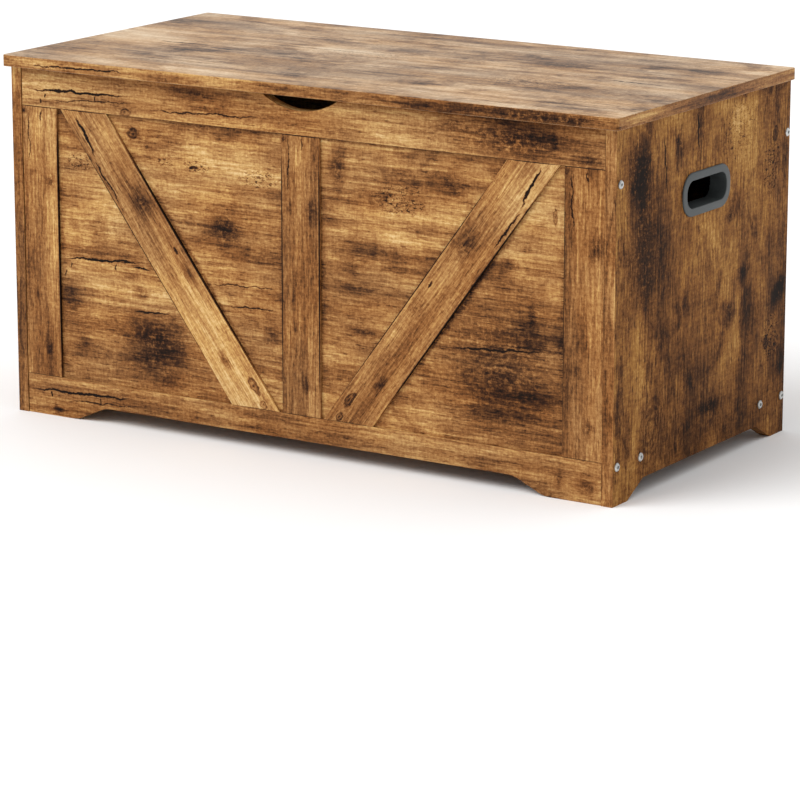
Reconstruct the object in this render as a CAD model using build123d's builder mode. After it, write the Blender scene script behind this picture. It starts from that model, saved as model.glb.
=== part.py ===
from build123d import *
import os
from math import cos, radians, sin

# A flat-pack toy chest: six boards, a barn-door front of applied strips, two grip
# inserts, and a lid on two concealed cup hinges and two gas struts.
# Millimetres. +X is to the right seen from the front, +Y to the back, +Z up.
# The origin is on the floor, under the middle of the lid.

# ---- boards -------------------------------------------------------------------
BOARD = 15.0            # side, back, bottom and lid boards
BODY_W = 887.0          # across the outer faces of the side panels
BODY_H = 451.5          # floor to the top edge of the side panels
LID_GAP = 1.5           # air under the lid when it is shut
LID_L, LID_D = 900.0, 450.0
LID_CORNER_R = 4.0
FRONT = -215.0          # front edge of the side panels
BACK = 225.0            # rear edge of the side panels, and of the shut lid
SIDE_IN = BODY_W / 2 - BOARD        # inner face of a side panel
LID_Z = BODY_H + LID_GAP            # underside of the shut lid
MID_Y = (FRONT + BACK) / 2

# ---- front panel and its strips -----------------------------------------------
STRIP_Y = FRONT + 1.0   # front face of the strips, just behind the side panels' edges
STRIP_T = 3.5
PANEL_Y = STRIP_Y + STRIP_T
PANEL_T = 11.5
FRONT_IN = PANEL_Y + PANEL_T        # inner face of the front panel
FIT = 0.2               # air at each end of a board between the side panels
TOP_RAIL_Z = 403.5      # lower edge of the top rail
LOW_RAIL_Z = 52.0       # upper edge of the bottom rail
STILE_W, MID_STILE_W = 55.0, 57.0
BRACE_RUN_W = 72.0      # width of a brace measured along a rail
BRACE_TOP, BRACE_LOW = 367.0, 33.0  # outer top corner and inner lower corner, from the middle
NOTCH_W, NOTCH_H = 112.0, 17.5

# ---- feet ---------------------------------------------------------------------
FRONT_FOOT, FRONT_SWEEP, FRONT_RISE = 79.0, 55.0, 20.0
SIDE_FOOT, SIDE_SWEEP, SIDE_RISE = 35.0, 50.0, 21.0
SWEEP_R = 40.0

# ---- bottom and back boards ---------------------------------------------------
BOTTOM_Z = 48.0         # middle of the bottom board
BACK_LOW = 21.0         # lower edge of the back board
BACK_IN = BACK - BOARD  # inner face of the back board

# ---- grip inserts -------------------------------------------------------------
GRIP_Y, GRIP_Z = MID_Y, 347.0
GRIP_L, GRIP_H, GRIP_R = 120.0, 54.0, 24.0
GRIP_HOLE_L, GRIP_HOLE_H, GRIP_HOLE_R = 100.0, 34.0, 15.0
GRIP_WALL, GRIP_RIM, GRIP_DEPTH = 2.4, 2.0, 21.0
RING_L, RING_H, RING_R, RING_T = 116.0, 50.0, 22.0, 3.6

# ---- panel bolts, barrel nuts and dowels ----------------------------------------
BOLT_R, BOLT_L = 3.0, 48.0
HEAD_R, HEAD_H, HEX_AF = 5.3, 2.2, 4.0
NUT_R, NUT_IN = 5.0, 34.0           # NUT_IN is from the panel's end to the nut's axis
DOWEL_R, DOWEL_IN, DOWEL_OUT = 3.0, 18.0, 9.0
FRONT_BOLT_Y = PANEL_Y + 4.5
BACK_BOLT_Y = BACK - BOARD / 2
HIGH_BOLT_Z = 387.0
BOTTOM_BOLT_Y = (MID_Y - 154.0, MID_Y + 154.0)
HOLE_AIR = 0.1          # radial air round bolts, nuts and dowels

# ---- concealed hinges ---------------------------------------------------------
HINGE_X = 230.0
CUP_Y = BACK - 22.5
CUP_R, CUP_DEPTH, CUP_WALL = 17.4, 11.9, 0.8
WING_L, WING_W, WING_T, WING_Y = 62.0, 16.0, 1.0, CUP_Y - 9.5
CUP_SCREW_X = 24.0
ARM_PIN_Y, ARM_PIN_Z = BACK - 22.1, 458.1   # the hinge link turns on the arm here
CUP_PIN_Y, CUP_PIN_Z = BACK - 7.5, 455.2    # and ends at the cup's pins here
CUP_PIN_X = 6.8         # how far each cup pin reaches from the hinge's middle
LINK_REACH = 0.74       # share of the way to the cup's pins at which the link ends
LINK_END_HALF = 0.9     # half of the link's thickness at that end
CUP_NOTCH = (10.4, 7.0, 5.4)   # gap in the cup's back wall that the link swings through
PIN_R = 1.5
ARM_HALF_W, ARM_WALL = 6.2, 1.6
ARM_FRONT = BACK - 28.5
PLATE_Z = 414.5
PLATE_SCREW_X = 16.0

# ---- gas struts ---------------------------------------------------------------
STRUT_X = 414.5
BASE_Y, BASE_Z = 47.0, 300.0        # stud on the side panel
STUD_Y, STUD_Z = 165.0, 438.0       # stud on the lid
STUD_R = 3.0
TUBE_R, TUBE_BORE = 7.5, 5.5
ROD_R = 3.0
TUBE_START, TUBE_END = 20.0, 138.0  # along the strut from the base stud
EYE_R, EYE_W = 6.0, 12.0

BODY_X = Plane.YZ       # sketches on this plane read Y across and Z up


def foot_outline(half, foot, sweep, rise, top):
    """Corner points of a board with a raised middle between two feet, anticlockwise."""
    a, b = half - foot, half - foot - sweep
    return [(-half, top), (-half, 0), (-a, 0), (-b, rise), (b, rise), (a, 0), (half, 0), (half, top)]


def foot_sketch(half, foot, sweep, rise, top):
    """The board's face with softly swept feet."""
    pts = foot_outline(half, foot, sweep * 0.8, rise, top)
    Polygon(*pts, align=None)
    inner = (half - foot, half - foot - sweep * 0.8)
    ends = [v for v in vertices() if min(abs(abs(v.X) - k) for k in inner) < 0.01 and v.Y < rise + 1]
    fillet(ends, SWEEP_R)


def bolt_axes():
    """Y and Z of the six bolts through one side panel."""
    low = [(FRONT_BOLT_Y, BOTTOM_Z), (BACK_BOLT_Y, BOTTOM_Z)]
    high = [(FRONT_BOLT_Y, HIGH_BOLT_Z), (BACK_BOLT_Y, HIGH_BOLT_Z)]
    return low + high + [(y, BOTTOM_Z) for y in BOTTOM_BOLT_Y]


def dowel_axes():
    """Y and Z of the dowels between one side panel and the boards it holds."""
    across = [(MID_Y - 90.0, BOTTOM_Z), (MID_Y + 90.0, BOTTOM_Z)]
    return across + [(y, z) for y in (FRONT_BOLT_Y, BACK_BOLT_Y) for z in (130.0, 300.0)]


def end_holes(axes, radius, start, length):
    """Cut holes along X at both ends of a board, from X = start inwards."""
    for side in (-1, 1):
        for y, z in axes:
            with BuildSketch(BODY_X.offset(side * start)) as mouth:
                with Locations((y, z)):
                    Circle(radius)
            extrude(mouth.sketch, amount=-side * length, mode=Mode.SUBTRACT)


def side_panel(side, name):
    """A side board with its feet, grip hole, bolt holes and dowel holes."""
    with BuildPart() as panel:
        with BuildSketch(BODY_X.offset(side * SIDE_IN)):
            with Locations((MID_Y, 0)):
                foot_sketch((BACK - FRONT) / 2, SIDE_FOOT, SIDE_SWEEP, SIDE_RISE, BODY_H)
            with Locations((GRIP_Y, GRIP_Z)):
                hole = (GRIP_HOLE_L + 2 * GRIP_WALL + 0.4, GRIP_HOLE_H + 2 * GRIP_WALL + 0.4)
                RectangleRounded(*hole, GRIP_HOLE_R + GRIP_WALL + 0.2, mode=Mode.SUBTRACT)
            with Locations(*bolt_axes()):
                Circle(BOLT_R + HOLE_AIR, mode=Mode.SUBTRACT)
        extrude(amount=side * BOARD)
        for y, z in dowel_axes():
            with BuildSketch(BODY_X.offset(side * SIDE_IN)):
                with Locations((y, z)):
                    Circle(DOWEL_R + HOLE_AIR)
            extrude(amount=side * (DOWEL_OUT + 0.5), mode=Mode.SUBTRACT)
        with BuildSketch(BODY_X.offset(side * SIDE_IN)):
            with Locations((BASE_Y - 14, BASE_Z), (BASE_Y + 14, BASE_Z)):
                Circle(1.6)
        extrude(amount=side * 11.0, mode=Mode.SUBTRACT)
    panel.part.label = name
    export_step(panel.part, f"parts/{name}.step")


def notch_sketch(top):
    """The hand notch in the top edge: one shallow arc."""
    half = NOTCH_W / 2
    with BuildLine() as outline:
        ThreePointArc((-half, top), (0, top - NOTCH_H), (half, top))
        Polyline((half, top), (half, top + 5), (-half, top + 5), (-half, top))
    make_face(outline.edges(), mode=Mode.SUBTRACT)


def front_panel():
    """The thin board behind the strips, with the hand notch and the swept feet."""
    half = SIDE_IN - FIT
    with BuildPart() as panel:
        with BuildSketch(Plane.XZ.offset(-PANEL_Y)):
            foot_sketch(half, FRONT_FOOT, FRONT_SWEEP, FRONT_RISE, BODY_H)
            notch_sketch(BODY_H)
        extrude(amount=-PANEL_T)
        axes = [(FRONT_BOLT_Y, BOTTOM_Z), (FRONT_BOLT_Y, HIGH_BOLT_Z)]
        end_holes(axes, BOLT_R + HOLE_AIR, half + 1, NUT_IN + 1)
        end_holes([a for a in dowel_axes() if a[0] == FRONT_BOLT_Y], DOWEL_R + HOLE_AIR,
                  half + 1, DOWEL_IN + 1.5)
        for side in (-1, 1):
            for _, z in axes:
                with BuildSketch(Plane.XZ.offset(-FRONT_IN)):
                    with Locations((side * (half - NUT_IN), z)):
                        Circle(NUT_R + HOLE_AIR)
                extrude(amount=PANEL_T - 1.0, mode=Mode.SUBTRACT)
    panel.part.label = "front_panel"
    export_step(panel.part, "parts/front_panel.step")


def strip(name, points, extra=None):
    """One applied strip, cut from the front face of the sketch back to the panel."""
    with BuildPart() as piece:
        with BuildSketch(Plane.XZ.offset(-STRIP_Y)):
            if points:
                Polygon(*points, align=None)
            if extra:
                extra()
        extrude(amount=-STRIP_T)
    piece.part.label = name
    export_step(piece.part, f"parts/{name}.step")


def front_strips():
    """Two rails, three stiles and two braces."""
    half = SIDE_IN - FIT
    top, low = TOP_RAIL_Z, LOW_RAIL_Z

    def rail_with_notch():
        notch_sketch(BODY_H)

    def rail_with_feet():
        foot_sketch(half, FRONT_FOOT, FRONT_SWEEP, FRONT_RISE, low)

    strip("front_top_rail", [(-half, top), (half, top), (half, BODY_H), (-half, BODY_H)], rail_with_notch)
    strip("front_bottom_rail", None, rail_with_feet)
    inner = half - STILE_W
    middle = MID_STILE_W / 2
    strip("front_stile_left", [(-half, low), (-inner, low), (-inner, top), (-half, top)])
    strip("front_stile_right", [(inner, low), (half, low), (half, top), (inner, top)])
    strip("front_stile_center", [(-middle, low), (middle, low), (middle, top), (-middle, top)])
    for side, name in ((-1, "left"), (1, "right")):
        corners = [(BRACE_LOW, low), (BRACE_LOW + BRACE_RUN_W, low), (BRACE_TOP, top),
                   (BRACE_TOP - BRACE_RUN_W, top)]
        strip(f"front_brace_{name}", [(side * x, z) for x, z in corners][::side])


def back_panel():
    """The back board, with holes for the bolts, nuts, dowels and hinge plates."""
    half = SIDE_IN - FIT
    with BuildPart() as panel:
        with Locations((0, BACK - BOARD / 2, (BACK_LOW + BODY_H) / 2)):
            Box(2 * half, BOARD, BODY_H - BACK_LOW)
        axes = [(BACK_BOLT_Y, BOTTOM_Z), (BACK_BOLT_Y, HIGH_BOLT_Z)]
        end_holes(axes, BOLT_R + HOLE_AIR, half + 1, NUT_IN + 1)
        end_holes([a for a in dowel_axes() if a[0] == BACK_BOLT_Y], DOWEL_R + HOLE_AIR,
                  half + 1, DOWEL_IN + 1.5)
        with BuildSketch(Plane.XZ.offset(-BACK_IN)):
            with Locations(*[(s * (half - NUT_IN), z) for s in (-1, 1) for _, z in axes]):
                Circle(NUT_R + HOLE_AIR)
        extrude(amount=-12.5, mode=Mode.SUBTRACT)
        with BuildSketch(Plane.XZ.offset(-BACK_IN)):
            with Locations(*[(s * HINGE_X + d * PLATE_SCREW_X, PLATE_Z) for s in (-1, 1) for d in (-1, 1)]):
                Circle(1.6)
        extrude(amount=-11.5, mode=Mode.SUBTRACT)
    panel.part.label = "back_panel"
    export_step(panel.part, "parts/back_panel.step")


def bottom_panel():
    """The bottom board between the four walls."""
    half = SIDE_IN - FIT
    y0, y1 = FRONT_IN + FIT, BACK_IN - FIT
    with BuildPart() as panel:
        with Locations((0, (y0 + y1) / 2, BOTTOM_Z)):
            Box(2 * half, y1 - y0, BOARD)
        axes = [(y, BOTTOM_Z) for y in BOTTOM_BOLT_Y]
        end_holes(axes, BOLT_R + HOLE_AIR, half + 1, NUT_IN + 1)
        end_holes([a for a in dowel_axes() if a[1] == BOTTOM_Z], DOWEL_R + HOLE_AIR,
                  half + 1, DOWEL_IN + 1.5)
        with BuildSketch(Plane.XY.offset(BOTTOM_Z - BOARD / 2)):
            with Locations(*[(s * (half - NUT_IN), y) for s in (-1, 1) for y, _ in axes]):
                Circle(NUT_R + HOLE_AIR)
        extrude(amount=12.5, mode=Mode.SUBTRACT)
    panel.part.label = "bottom_panel"
    export_step(panel.part, "parts/bottom_panel.step")


def lid():
    """The lid board with softened edges, cup pockets and pilot holes."""
    with BuildPart() as board:
        with BuildSketch(Plane.XY.offset(LID_Z)):
            with Locations((0, BACK - LID_D / 2)):
                RectangleRounded(LID_L, LID_D, LID_CORNER_R)
        extrude(amount=BOARD)
        fillet(board.faces().sort_by(Axis.Z)[-1].edges(), 1.2)
        fillet(board.faces().sort_by(Axis.Z)[0].edges(), 0.8)
        with BuildSketch(Plane.XY.offset(LID_Z)):
            with Locations((-HINGE_X, CUP_Y), (HINGE_X, CUP_Y)):
                Circle(CUP_R + 0.1)
        extrude(amount=CUP_DEPTH + 0.1, mode=Mode.SUBTRACT)
        pilots = [(s * HINGE_X + d * CUP_SCREW_X, WING_Y) for s in (-1, 1) for d in (-1, 1)]
        pilots += [(s * LID_SCREW_X, y) for s in (-1, 1) for y in LID_SCREW_Y]
        with BuildSketch(Plane.XY.offset(LID_Z)):
            with Locations(*pilots):
                Circle(1.6)
        extrude(amount=11.0, mode=Mode.SUBTRACT)
    board.part.label = "lid"
    export_step(board.part, "parts/lid.step")


def grip(side, name):
    """A grip insert: an outer rim and a sleeve with a sloping floor, through the side board."""
    face = SIDE_IN + BOARD
    with BuildPart() as insert:
        with BuildSketch(BODY_X.offset(side * face)):
            with Locations((GRIP_Y, GRIP_Z)):
                RectangleRounded(GRIP_L, GRIP_H, GRIP_R)
        extrude(amount=side * GRIP_RIM)
        rim = insert.faces().sort_by(Axis.X)[-1 if side > 0 else 0]
        fillet(rim.edges(), 1.4)
        with BuildSketch(BODY_X.offset(side * face)):
            with Locations((GRIP_Y, GRIP_Z)):
                RectangleRounded(GRIP_HOLE_L + 2 * GRIP_WALL, GRIP_HOLE_H + 2 * GRIP_WALL,
                                 GRIP_HOLE_R + GRIP_WALL)
        extrude(amount=-side * GRIP_DEPTH)
        with BuildSketch(BODY_X.offset(side * (face + GRIP_RIM))):
            with Locations((GRIP_Y, GRIP_Z)):
                RectangleRounded(GRIP_HOLE_L, GRIP_HOLE_H, GRIP_HOLE_R)
        extrude(amount=-side * (GRIP_RIM + GRIP_DEPTH), taper=3.0, mode=Mode.SUBTRACT)
    insert.part.label = f"grip_insert_{name}"
    export_step(insert.part, f"parts/grip_insert_{name}.step")
    with BuildPart() as ring:
        with BuildSketch(BODY_X.offset(side * SIDE_IN)):
            with Locations((GRIP_Y, GRIP_Z)):
                RectangleRounded(RING_L, RING_H, RING_R)
                RectangleRounded(GRIP_HOLE_L + 2 * GRIP_WALL + 0.4, GRIP_HOLE_H + 2 * GRIP_WALL + 0.4,
                                 GRIP_HOLE_R + GRIP_WALL + 0.2, mode=Mode.SUBTRACT)
        extrude(amount=-side * RING_T)
    ring.part.label = f"grip_inner_ring_{name}"
    export_step(ring.part, f"parts/grip_inner_ring_{name}.step")


def bolts(side, name):
    """Six hex-socket bolts through one side board."""
    face = SIDE_IN + BOARD
    with BuildPart() as group:
        for y, z in bolt_axes():
            with BuildSketch(BODY_X.offset(side * face)):
                with Locations((y, z)):
                    Circle(HEAD_R)
            extrude(amount=side * HEAD_H)
        outer = group.faces().group_by(Axis.X)[-1 if side > 0 else 0]
        fillet(outer.edges(), 1.3)
        for y, z in bolt_axes():
            with BuildSketch(BODY_X.offset(side * face)):
                with Locations((y, z)):
                    Circle(BOLT_R)
            extrude(amount=-side * BOLT_L)
            with BuildSketch(BODY_X.offset(side * (face + HEAD_H))):
                with Locations((y, z)):
                    RegularPolygon(HEX_AF / 2, 6, major_radius=False)
            extrude(amount=-side * 3.4, mode=Mode.SUBTRACT)
    group.part.label = f"panel_bolts_{name}"
    export_step(group.part, f"parts/panel_bolts_{name}.step")


def nuts(side, name):
    """Six barrel nuts that the bolts of one side screw into."""
    x = side * (SIDE_IN - FIT - NUT_IN)
    with BuildPart() as group:
        for y, z in bolt_axes():
            if y == FRONT_BOLT_Y:
                with BuildSketch(Plane.XZ.offset(-FRONT_IN + 0.2)):
                    with Locations((x, z)):
                        Circle(NUT_R)
                extrude(amount=9.8)
            elif y == BACK_BOLT_Y:
                with BuildSketch(Plane.XZ.offset(-BACK_IN - 0.2)):
                    with Locations((x, z)):
                        Circle(NUT_R)
                extrude(amount=-12.0)
            else:
                with BuildSketch(Plane.XY.offset(BOTTOM_Z - BOARD / 2 + 0.2)):
                    with Locations((x, y)):
                        Circle(NUT_R)
                extrude(amount=12.0)
        for y, z in bolt_axes():
            with BuildSketch(BODY_X.offset(x + side * 8)):
                with Locations((y, z)):
                    Circle(BOLT_R + HOLE_AIR)
            extrude(amount=-side * 16, mode=Mode.SUBTRACT)
    group.part.label = f"barrel_nuts_{name}"
    export_step(group.part, f"parts/barrel_nuts_{name}.step")


def dowels(side, name):
    """Wooden dowels between one side board and the boards it holds."""
    with BuildPart() as group:
        for y, z in dowel_axes():
            with BuildSketch(BODY_X.offset(side * (SIDE_IN + DOWEL_OUT))):
                with Locations((y, z)):
                    Circle(DOWEL_R)
            extrude(amount=-side * (DOWEL_OUT + DOWEL_IN))
    group.part.label = f"dowels_{name}"
    export_step(group.part, f"parts/dowels_{name}.step")


def bumpers():
    """Four felt dots on the side boards' top edges that the lid comes down on."""
    with BuildPart() as group:
        for x in (-SIDE_IN - 7.5, SIDE_IN + 7.5):
            for y in (FRONT + 22.0, BACK - 60.0):
                with Locations((x, y, BODY_H + 0.7)):
                    Cylinder(4.0, 1.4)
    group.part.label = "lid_bumpers"
    export_step(group.part, "parts/lid_bumpers.step")


def hinge_cup(x, name):
    """The cup pressed into the lid, with its screw wings and a hollow for the arm."""
    with BuildPart() as cup:
        with BuildSketch(Plane.XY.offset(LID_Z)):
            with Locations((x, CUP_Y)):
                Circle(CUP_R)
        extrude(amount=CUP_DEPTH)
        with BuildSketch(Plane.XY.offset(LID_Z)):
            with Locations((x, WING_Y)):
                SlotOverall(WING_L, WING_W)
            with Locations((x, CUP_Y)):
                Circle(CUP_R + 2.2)
            with Locations((x, BACK_IN - 1.0 + 20.0)):
                Rectangle(80, 40, mode=Mode.SUBTRACT)
        extrude(amount=-WING_T)
        with BuildSketch(Plane.XY.offset(LID_Z - WING_T)):
            with Locations((x, CUP_Y)):
                Circle(CUP_R - CUP_WALL)
        extrude(amount=WING_T + CUP_DEPTH - CUP_WALL, mode=Mode.SUBTRACT)
        with BuildSketch(Plane.XY.offset(LID_Z - WING_T)):
            with Locations((x - CUP_SCREW_X, WING_Y), (x + CUP_SCREW_X, WING_Y)):
                Circle(2.0)
        extrude(amount=WING_T, mode=Mode.SUBTRACT)
        with BuildSketch(BODY_X.offset(x - CUP_PIN_X)):
            with Locations((CUP_PIN_Y, CUP_PIN_Z)):
                Circle(1.03)
        extrude(amount=2 * CUP_PIN_X, mode=Mode.SUBTRACT)
        with Locations((x, CUP_Y + CUP_R - 0.4, LID_Z + CUP_NOTCH[2] / 2 - 0.1)):
            Box(*CUP_NOTCH, mode=Mode.SUBTRACT)
    cup.part.label = f"hinge_cup_{name}"
    export_step(cup.part, f"parts/hinge_cup_{name}.step")


def cup_pins():
    """A pair of short pins in each cup, one each side of the hinge link."""
    with BuildPart() as group:
        for x in (-HINGE_X, HINGE_X):
            for side in (-1, 1):
                with BuildSketch(BODY_X.offset(x + side * 4.7)):
                    with Locations((CUP_PIN_Y, CUP_PIN_Z)):
                        Circle(1.0)
                extrude(amount=side * (CUP_PIN_X - 4.75))
    group.part.label = "hinge_cup_pins"
    export_step(group.part, "parts/hinge_cup_pins.step")


def hinge_arm(x, name):
    """A pressed channel up the back board, with two cheeks that carry the link's pin."""
    with BuildPart() as arm:
        cheeks = [x - ARM_HALF_W, x + ARM_HALF_W - ARM_WALL]
        for start in cheeks:
            with BuildSketch(BODY_X.offset(start)):
                with BuildLine():
                    FilletPolyline((ARM_FRONT, 394), (ARM_FRONT, 450), (ARM_FRONT + 3.2, 462.2),
                                   (ARM_PIN_Y + 4.1, 462.2), (ARM_PIN_Y + 4.1, 446),
                                   (BACK_IN - 5.5, 438), (BACK_IN - 5.5, 394), radius=2.6)
                    Line((BACK_IN - 5.5, 394), (ARM_FRONT, 394))
                make_face()
                with Locations((ARM_PIN_Y, ARM_PIN_Z)):
                    Circle(PIN_R + 0.05, mode=Mode.SUBTRACT)
            extrude(amount=ARM_WALL)
        with Locations((x, ARM_FRONT + ARM_WALL / 2, 421)):
            Box(2 * ARM_HALF_W - 1.0, ARM_WALL, 54)
        with BuildSketch(Plane.XZ.offset(-ARM_FRONT)):
            with Locations((x, 404), (x, 428)):
                Circle(2.2)
        extrude(amount=-ARM_WALL, mode=Mode.SUBTRACT)
    arm.part.label = f"hinge_arm_{name}"
    export_step(arm.part, f"parts/hinge_arm_{name}.step")


def hinge_plate(x, name):
    """The cross-shaped mounting plate, with the ridge that the arm clips over."""
    with BuildPart() as plate:
        with BuildSketch(Plane.XZ.offset(-BACK_IN + 2.0)):
            with Locations((x, PLATE_Z)):
                SlotOverall(46, 13)
            with Locations((x, 414)):
                RectangleRounded(15, 44, 2.5)
            with Locations((x - PLATE_SCREW_X, PLATE_Z), (x + PLATE_SCREW_X, PLATE_Z)):
                Circle(2.1, mode=Mode.SUBTRACT)
        extrude(amount=-2.0)
        with Locations((x, BACK_IN - 6.5, 414)):
            Box(8.6, 9.2, 40)
        with BuildSketch(Plane.XZ.offset(-BACK_IN + 11.1)):
            with Locations((x, 404), (x, 428)):
                Circle(1.7)
        extrude(amount=-8.6, mode=Mode.SUBTRACT)
    plate.part.label = f"hinge_plate_{name}"
    export_step(plate.part, f"parts/hinge_plate_{name}.step")


def hinge_link(x, name):
    """The pressed link between the arm's pin and the cup's pins, with an open far end."""
    end_y = ARM_PIN_Y + LINK_REACH * (CUP_PIN_Y - ARM_PIN_Y)
    end_z = ARM_PIN_Z + LINK_REACH * (CUP_PIN_Z - ARM_PIN_Z)
    with BuildPart() as link:
        with BuildSketch(BODY_X.offset(x - 4.1)):
            with Locations((ARM_PIN_Y, ARM_PIN_Z)):
                Circle(2.7)
            with BuildLine():
                Polyline((ARM_PIN_Y, ARM_PIN_Z + 1.3), (end_y, end_z + LINK_END_HALF),
                         (end_y, end_z - LINK_END_HALF), (ARM_PIN_Y, ARM_PIN_Z - 1.3), close=True)
            make_face()
            with Locations((ARM_PIN_Y, ARM_PIN_Z)):
                Circle(PIN_R + 0.05, mode=Mode.SUBTRACT)
        extrude(amount=8.2)
    link.part.label = f"hinge_link_{name}"
    export_step(link.part, f"parts/hinge_link_{name}.step")


def arm_pins():
    """The rivet in each arm that its link turns on."""
    with BuildPart() as group:
        for x in (-HINGE_X, HINGE_X):
            with BuildSketch(BODY_X.offset(x - ARM_HALF_W - 0.6)):
                with Locations((ARM_PIN_Y, ARM_PIN_Z)):
                    Circle(PIN_R)
            extrude(amount=2 * ARM_HALF_W + 1.2)
    group.part.label = "hinge_arm_pins"
    export_step(group.part, "parts/hinge_arm_pins.step")


def screws_up(name, places, z, head_r, head_h, shank_r, shank_l):
    """Pan-head screws that go up into the lid from its underside."""
    with BuildPart() as group:
        with BuildSketch(Plane.XY.offset(z - head_h)):
            with Locations(*places):
                Circle(head_r)
        extrude(amount=head_h)
        with BuildSketch(Plane.XY.offset(z)):
            with Locations(*places):
                Circle(shank_r)
        extrude(amount=shank_l)
        for angle in (0, 90):
            with BuildSketch(Plane.XY.offset(z - head_h)):
                with Locations(*places):
                    Rectangle(head_r * 1.1, 0.9, rotation=angle)
            extrude(amount=min(head_h * 0.6, 0.9), mode=Mode.SUBTRACT)
    group.part.label = name
    export_step(group.part, f"parts/{name}.step")


def screws_back(name, places, y, head_r, head_h, shank_r, shank_l):
    """Pan-head screws that go back along +Y."""
    with BuildPart() as group:
        with BuildSketch(Plane.XZ.offset(-y + head_h)):
            with Locations(*places):
                Circle(head_r)
        extrude(amount=-head_h)
        with BuildSketch(Plane.XZ.offset(-y)):
            with Locations(*places):
                Circle(shank_r)
        extrude(amount=-shank_l)
        for angle in (0, 90):
            with BuildSketch(Plane.XZ.offset(-y + head_h)):
                with Locations(*places):
                    Rectangle(head_r * 1.1, 0.9, rotation=angle)
            extrude(amount=-min(head_h * 0.6, 0.9), mode=Mode.SUBTRACT)
    group.part.label = name
    export_step(group.part, f"parts/{name}.step")


LID_SCREW_X, LID_SCREW_Y = 388.0, (STUD_Y - 12.0, STUD_Y + 12.0)
LID_PLATE_T = 1.5


def lid_bracket(side, name):
    """An angle bracket under the lid, with the stud the strut's rod ends at."""
    tab = side * 402.0
    with BuildPart() as bracket:
        with BuildSketch(Plane.XY.offset(LID_Z)):
            with Locations((side * 390.0, STUD_Y)):
                RectangleRounded(24.0, 40.0, 3.0)
            with Locations(*[(side * LID_SCREW_X, y) for y in LID_SCREW_Y]):
                Circle(1.9, mode=Mode.SUBTRACT)
        extrude(amount=-LID_PLATE_T)
        with BuildSketch(BODY_X.offset(tab)):
            with BuildLine():
                FilletPolyline((STUD_Y - 17, LID_Z - 0.5), (STUD_Y - 17, LID_Z - 6), (STUD_Y - 7, STUD_Z - 7),
                               (STUD_Y + 7, STUD_Z - 7), (STUD_Y + 17, LID_Z - 6),
                               (STUD_Y + 17, LID_Z - 0.5), radius=2.0)
                Line((STUD_Y + 17, LID_Z - 0.5), (STUD_Y - 17, LID_Z - 0.5))
            make_face()
        extrude(amount=-side * 1.6)
        with BuildSketch(BODY_X.offset(tab)):
            with Locations((STUD_Y, STUD_Z)):
                Circle(STUD_R)
        extrude(amount=side * 5.9)
    bracket.part.label = f"lid_bracket_{name}"
    export_step(bracket.part, f"parts/lid_bracket_{name}.step")


def side_bracket(side, name):
    """A plate on the side board with the stud that the strut's tube turns on."""
    with BuildPart() as bracket:
        with BuildSketch(BODY_X.offset(side * SIDE_IN)):
            with Locations((BASE_Y, BASE_Z)):
                SlotOverall(42.0, 16.0)
            with Locations((BASE_Y - 14, BASE_Z), (BASE_Y + 14, BASE_Z)):
                Circle(1.9, mode=Mode.SUBTRACT)
        extrude(amount=-side * 2.0)
        with BuildSketch(BODY_X.offset(side * (SIDE_IN - 2.0))):
            with Locations((BASE_Y, BASE_Z)):
                Circle(5.0)
        extrude(amount=-side * 5.5)
        with BuildSketch(BODY_X.offset(side * (SIDE_IN - 7.0))):
            with Locations((BASE_Y, BASE_Z)):
                Circle(STUD_R)
        extrude(amount=-side * 14.0)
        with BuildSketch(BODY_X.offset(side * (STRUT_X - EYE_W / 2 - 0.5))):
            with Locations((BASE_Y, BASE_Z)):
                Circle(4.4)
        extrude(amount=-side * 1.2)
    bracket.part.label = f"side_bracket_{name}"
    export_step(bracket.part, f"parts/side_bracket_{name}.step")


def side_screws():
    """Four pan-head screws that hold the two side brackets."""
    with BuildPart() as group:
        for side in (-1, 1):
            for d in (-14, 14):
                with BuildSketch(BODY_X.offset(side * (SIDE_IN - 2.0))):
                    with Locations((BASE_Y + d, BASE_Z)):
                        Circle(3.5)
                extrude(amount=-side * 1.8)
                with BuildSketch(BODY_X.offset(side * (SIDE_IN - 2.0))):
                    with Locations((BASE_Y + d, BASE_Z)):
                        Circle(1.5)
                extrude(amount=side * 12.5)
    group.part.label = "side_bracket_screws"
    export_step(group.part, "parts/side_bracket_screws.step")


STRUT_LEN = ((STUD_Y - BASE_Y) ** 2 + (STUD_Z - BASE_Z) ** 2) ** 0.5
STRUT_U = ((STUD_Y - BASE_Y) / STRUT_LEN, (STUD_Z - BASE_Z) / STRUT_LEN)


def strut_plane(x):
    """A plane whose x runs along the strut from its base stud and whose z is +X."""
    return Plane(origin=(x, BASE_Y, BASE_Z), x_dir=(0, *STRUT_U), z_dir=(1, 0, 0))


def strut_axis_plane(along):
    """A plane across the strut, at a distance along it from the base stud."""
    origin = (0, BASE_Y + STRUT_U[0] * along, BASE_Z + STRUT_U[1] * along)
    return Plane(origin=origin, x_dir=(1, 0, 0), z_dir=(0, *STRUT_U))


def disc_run(side, start, end, radius, mode=Mode.ADD):
    """A round stretch of the strut between two distances along it."""
    with BuildSketch(strut_axis_plane(start)) as disc:
        with Locations((side * STRUT_X, 0)):
            Circle(radius)
    extrude(disc.sketch, amount=end - start, mode=mode)


def strut_eye(side, along, reach, bore):
    """An end fitting: an eye round a stud, with a neck towards the strut's middle."""
    with BuildPart() as eye:
        with BuildSketch(strut_plane(side * STRUT_X - EYE_W / 2)):
            with Locations((along, 0)):
                Circle(EYE_R)
            with Locations((along + reach / 2, 0)):
                Rectangle(abs(reach), 7.0)
            if bore:
                with Locations((along, 0)):
                    Circle(bore, mode=Mode.SUBTRACT)
        extrude(amount=EYE_W)
    return eye


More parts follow.
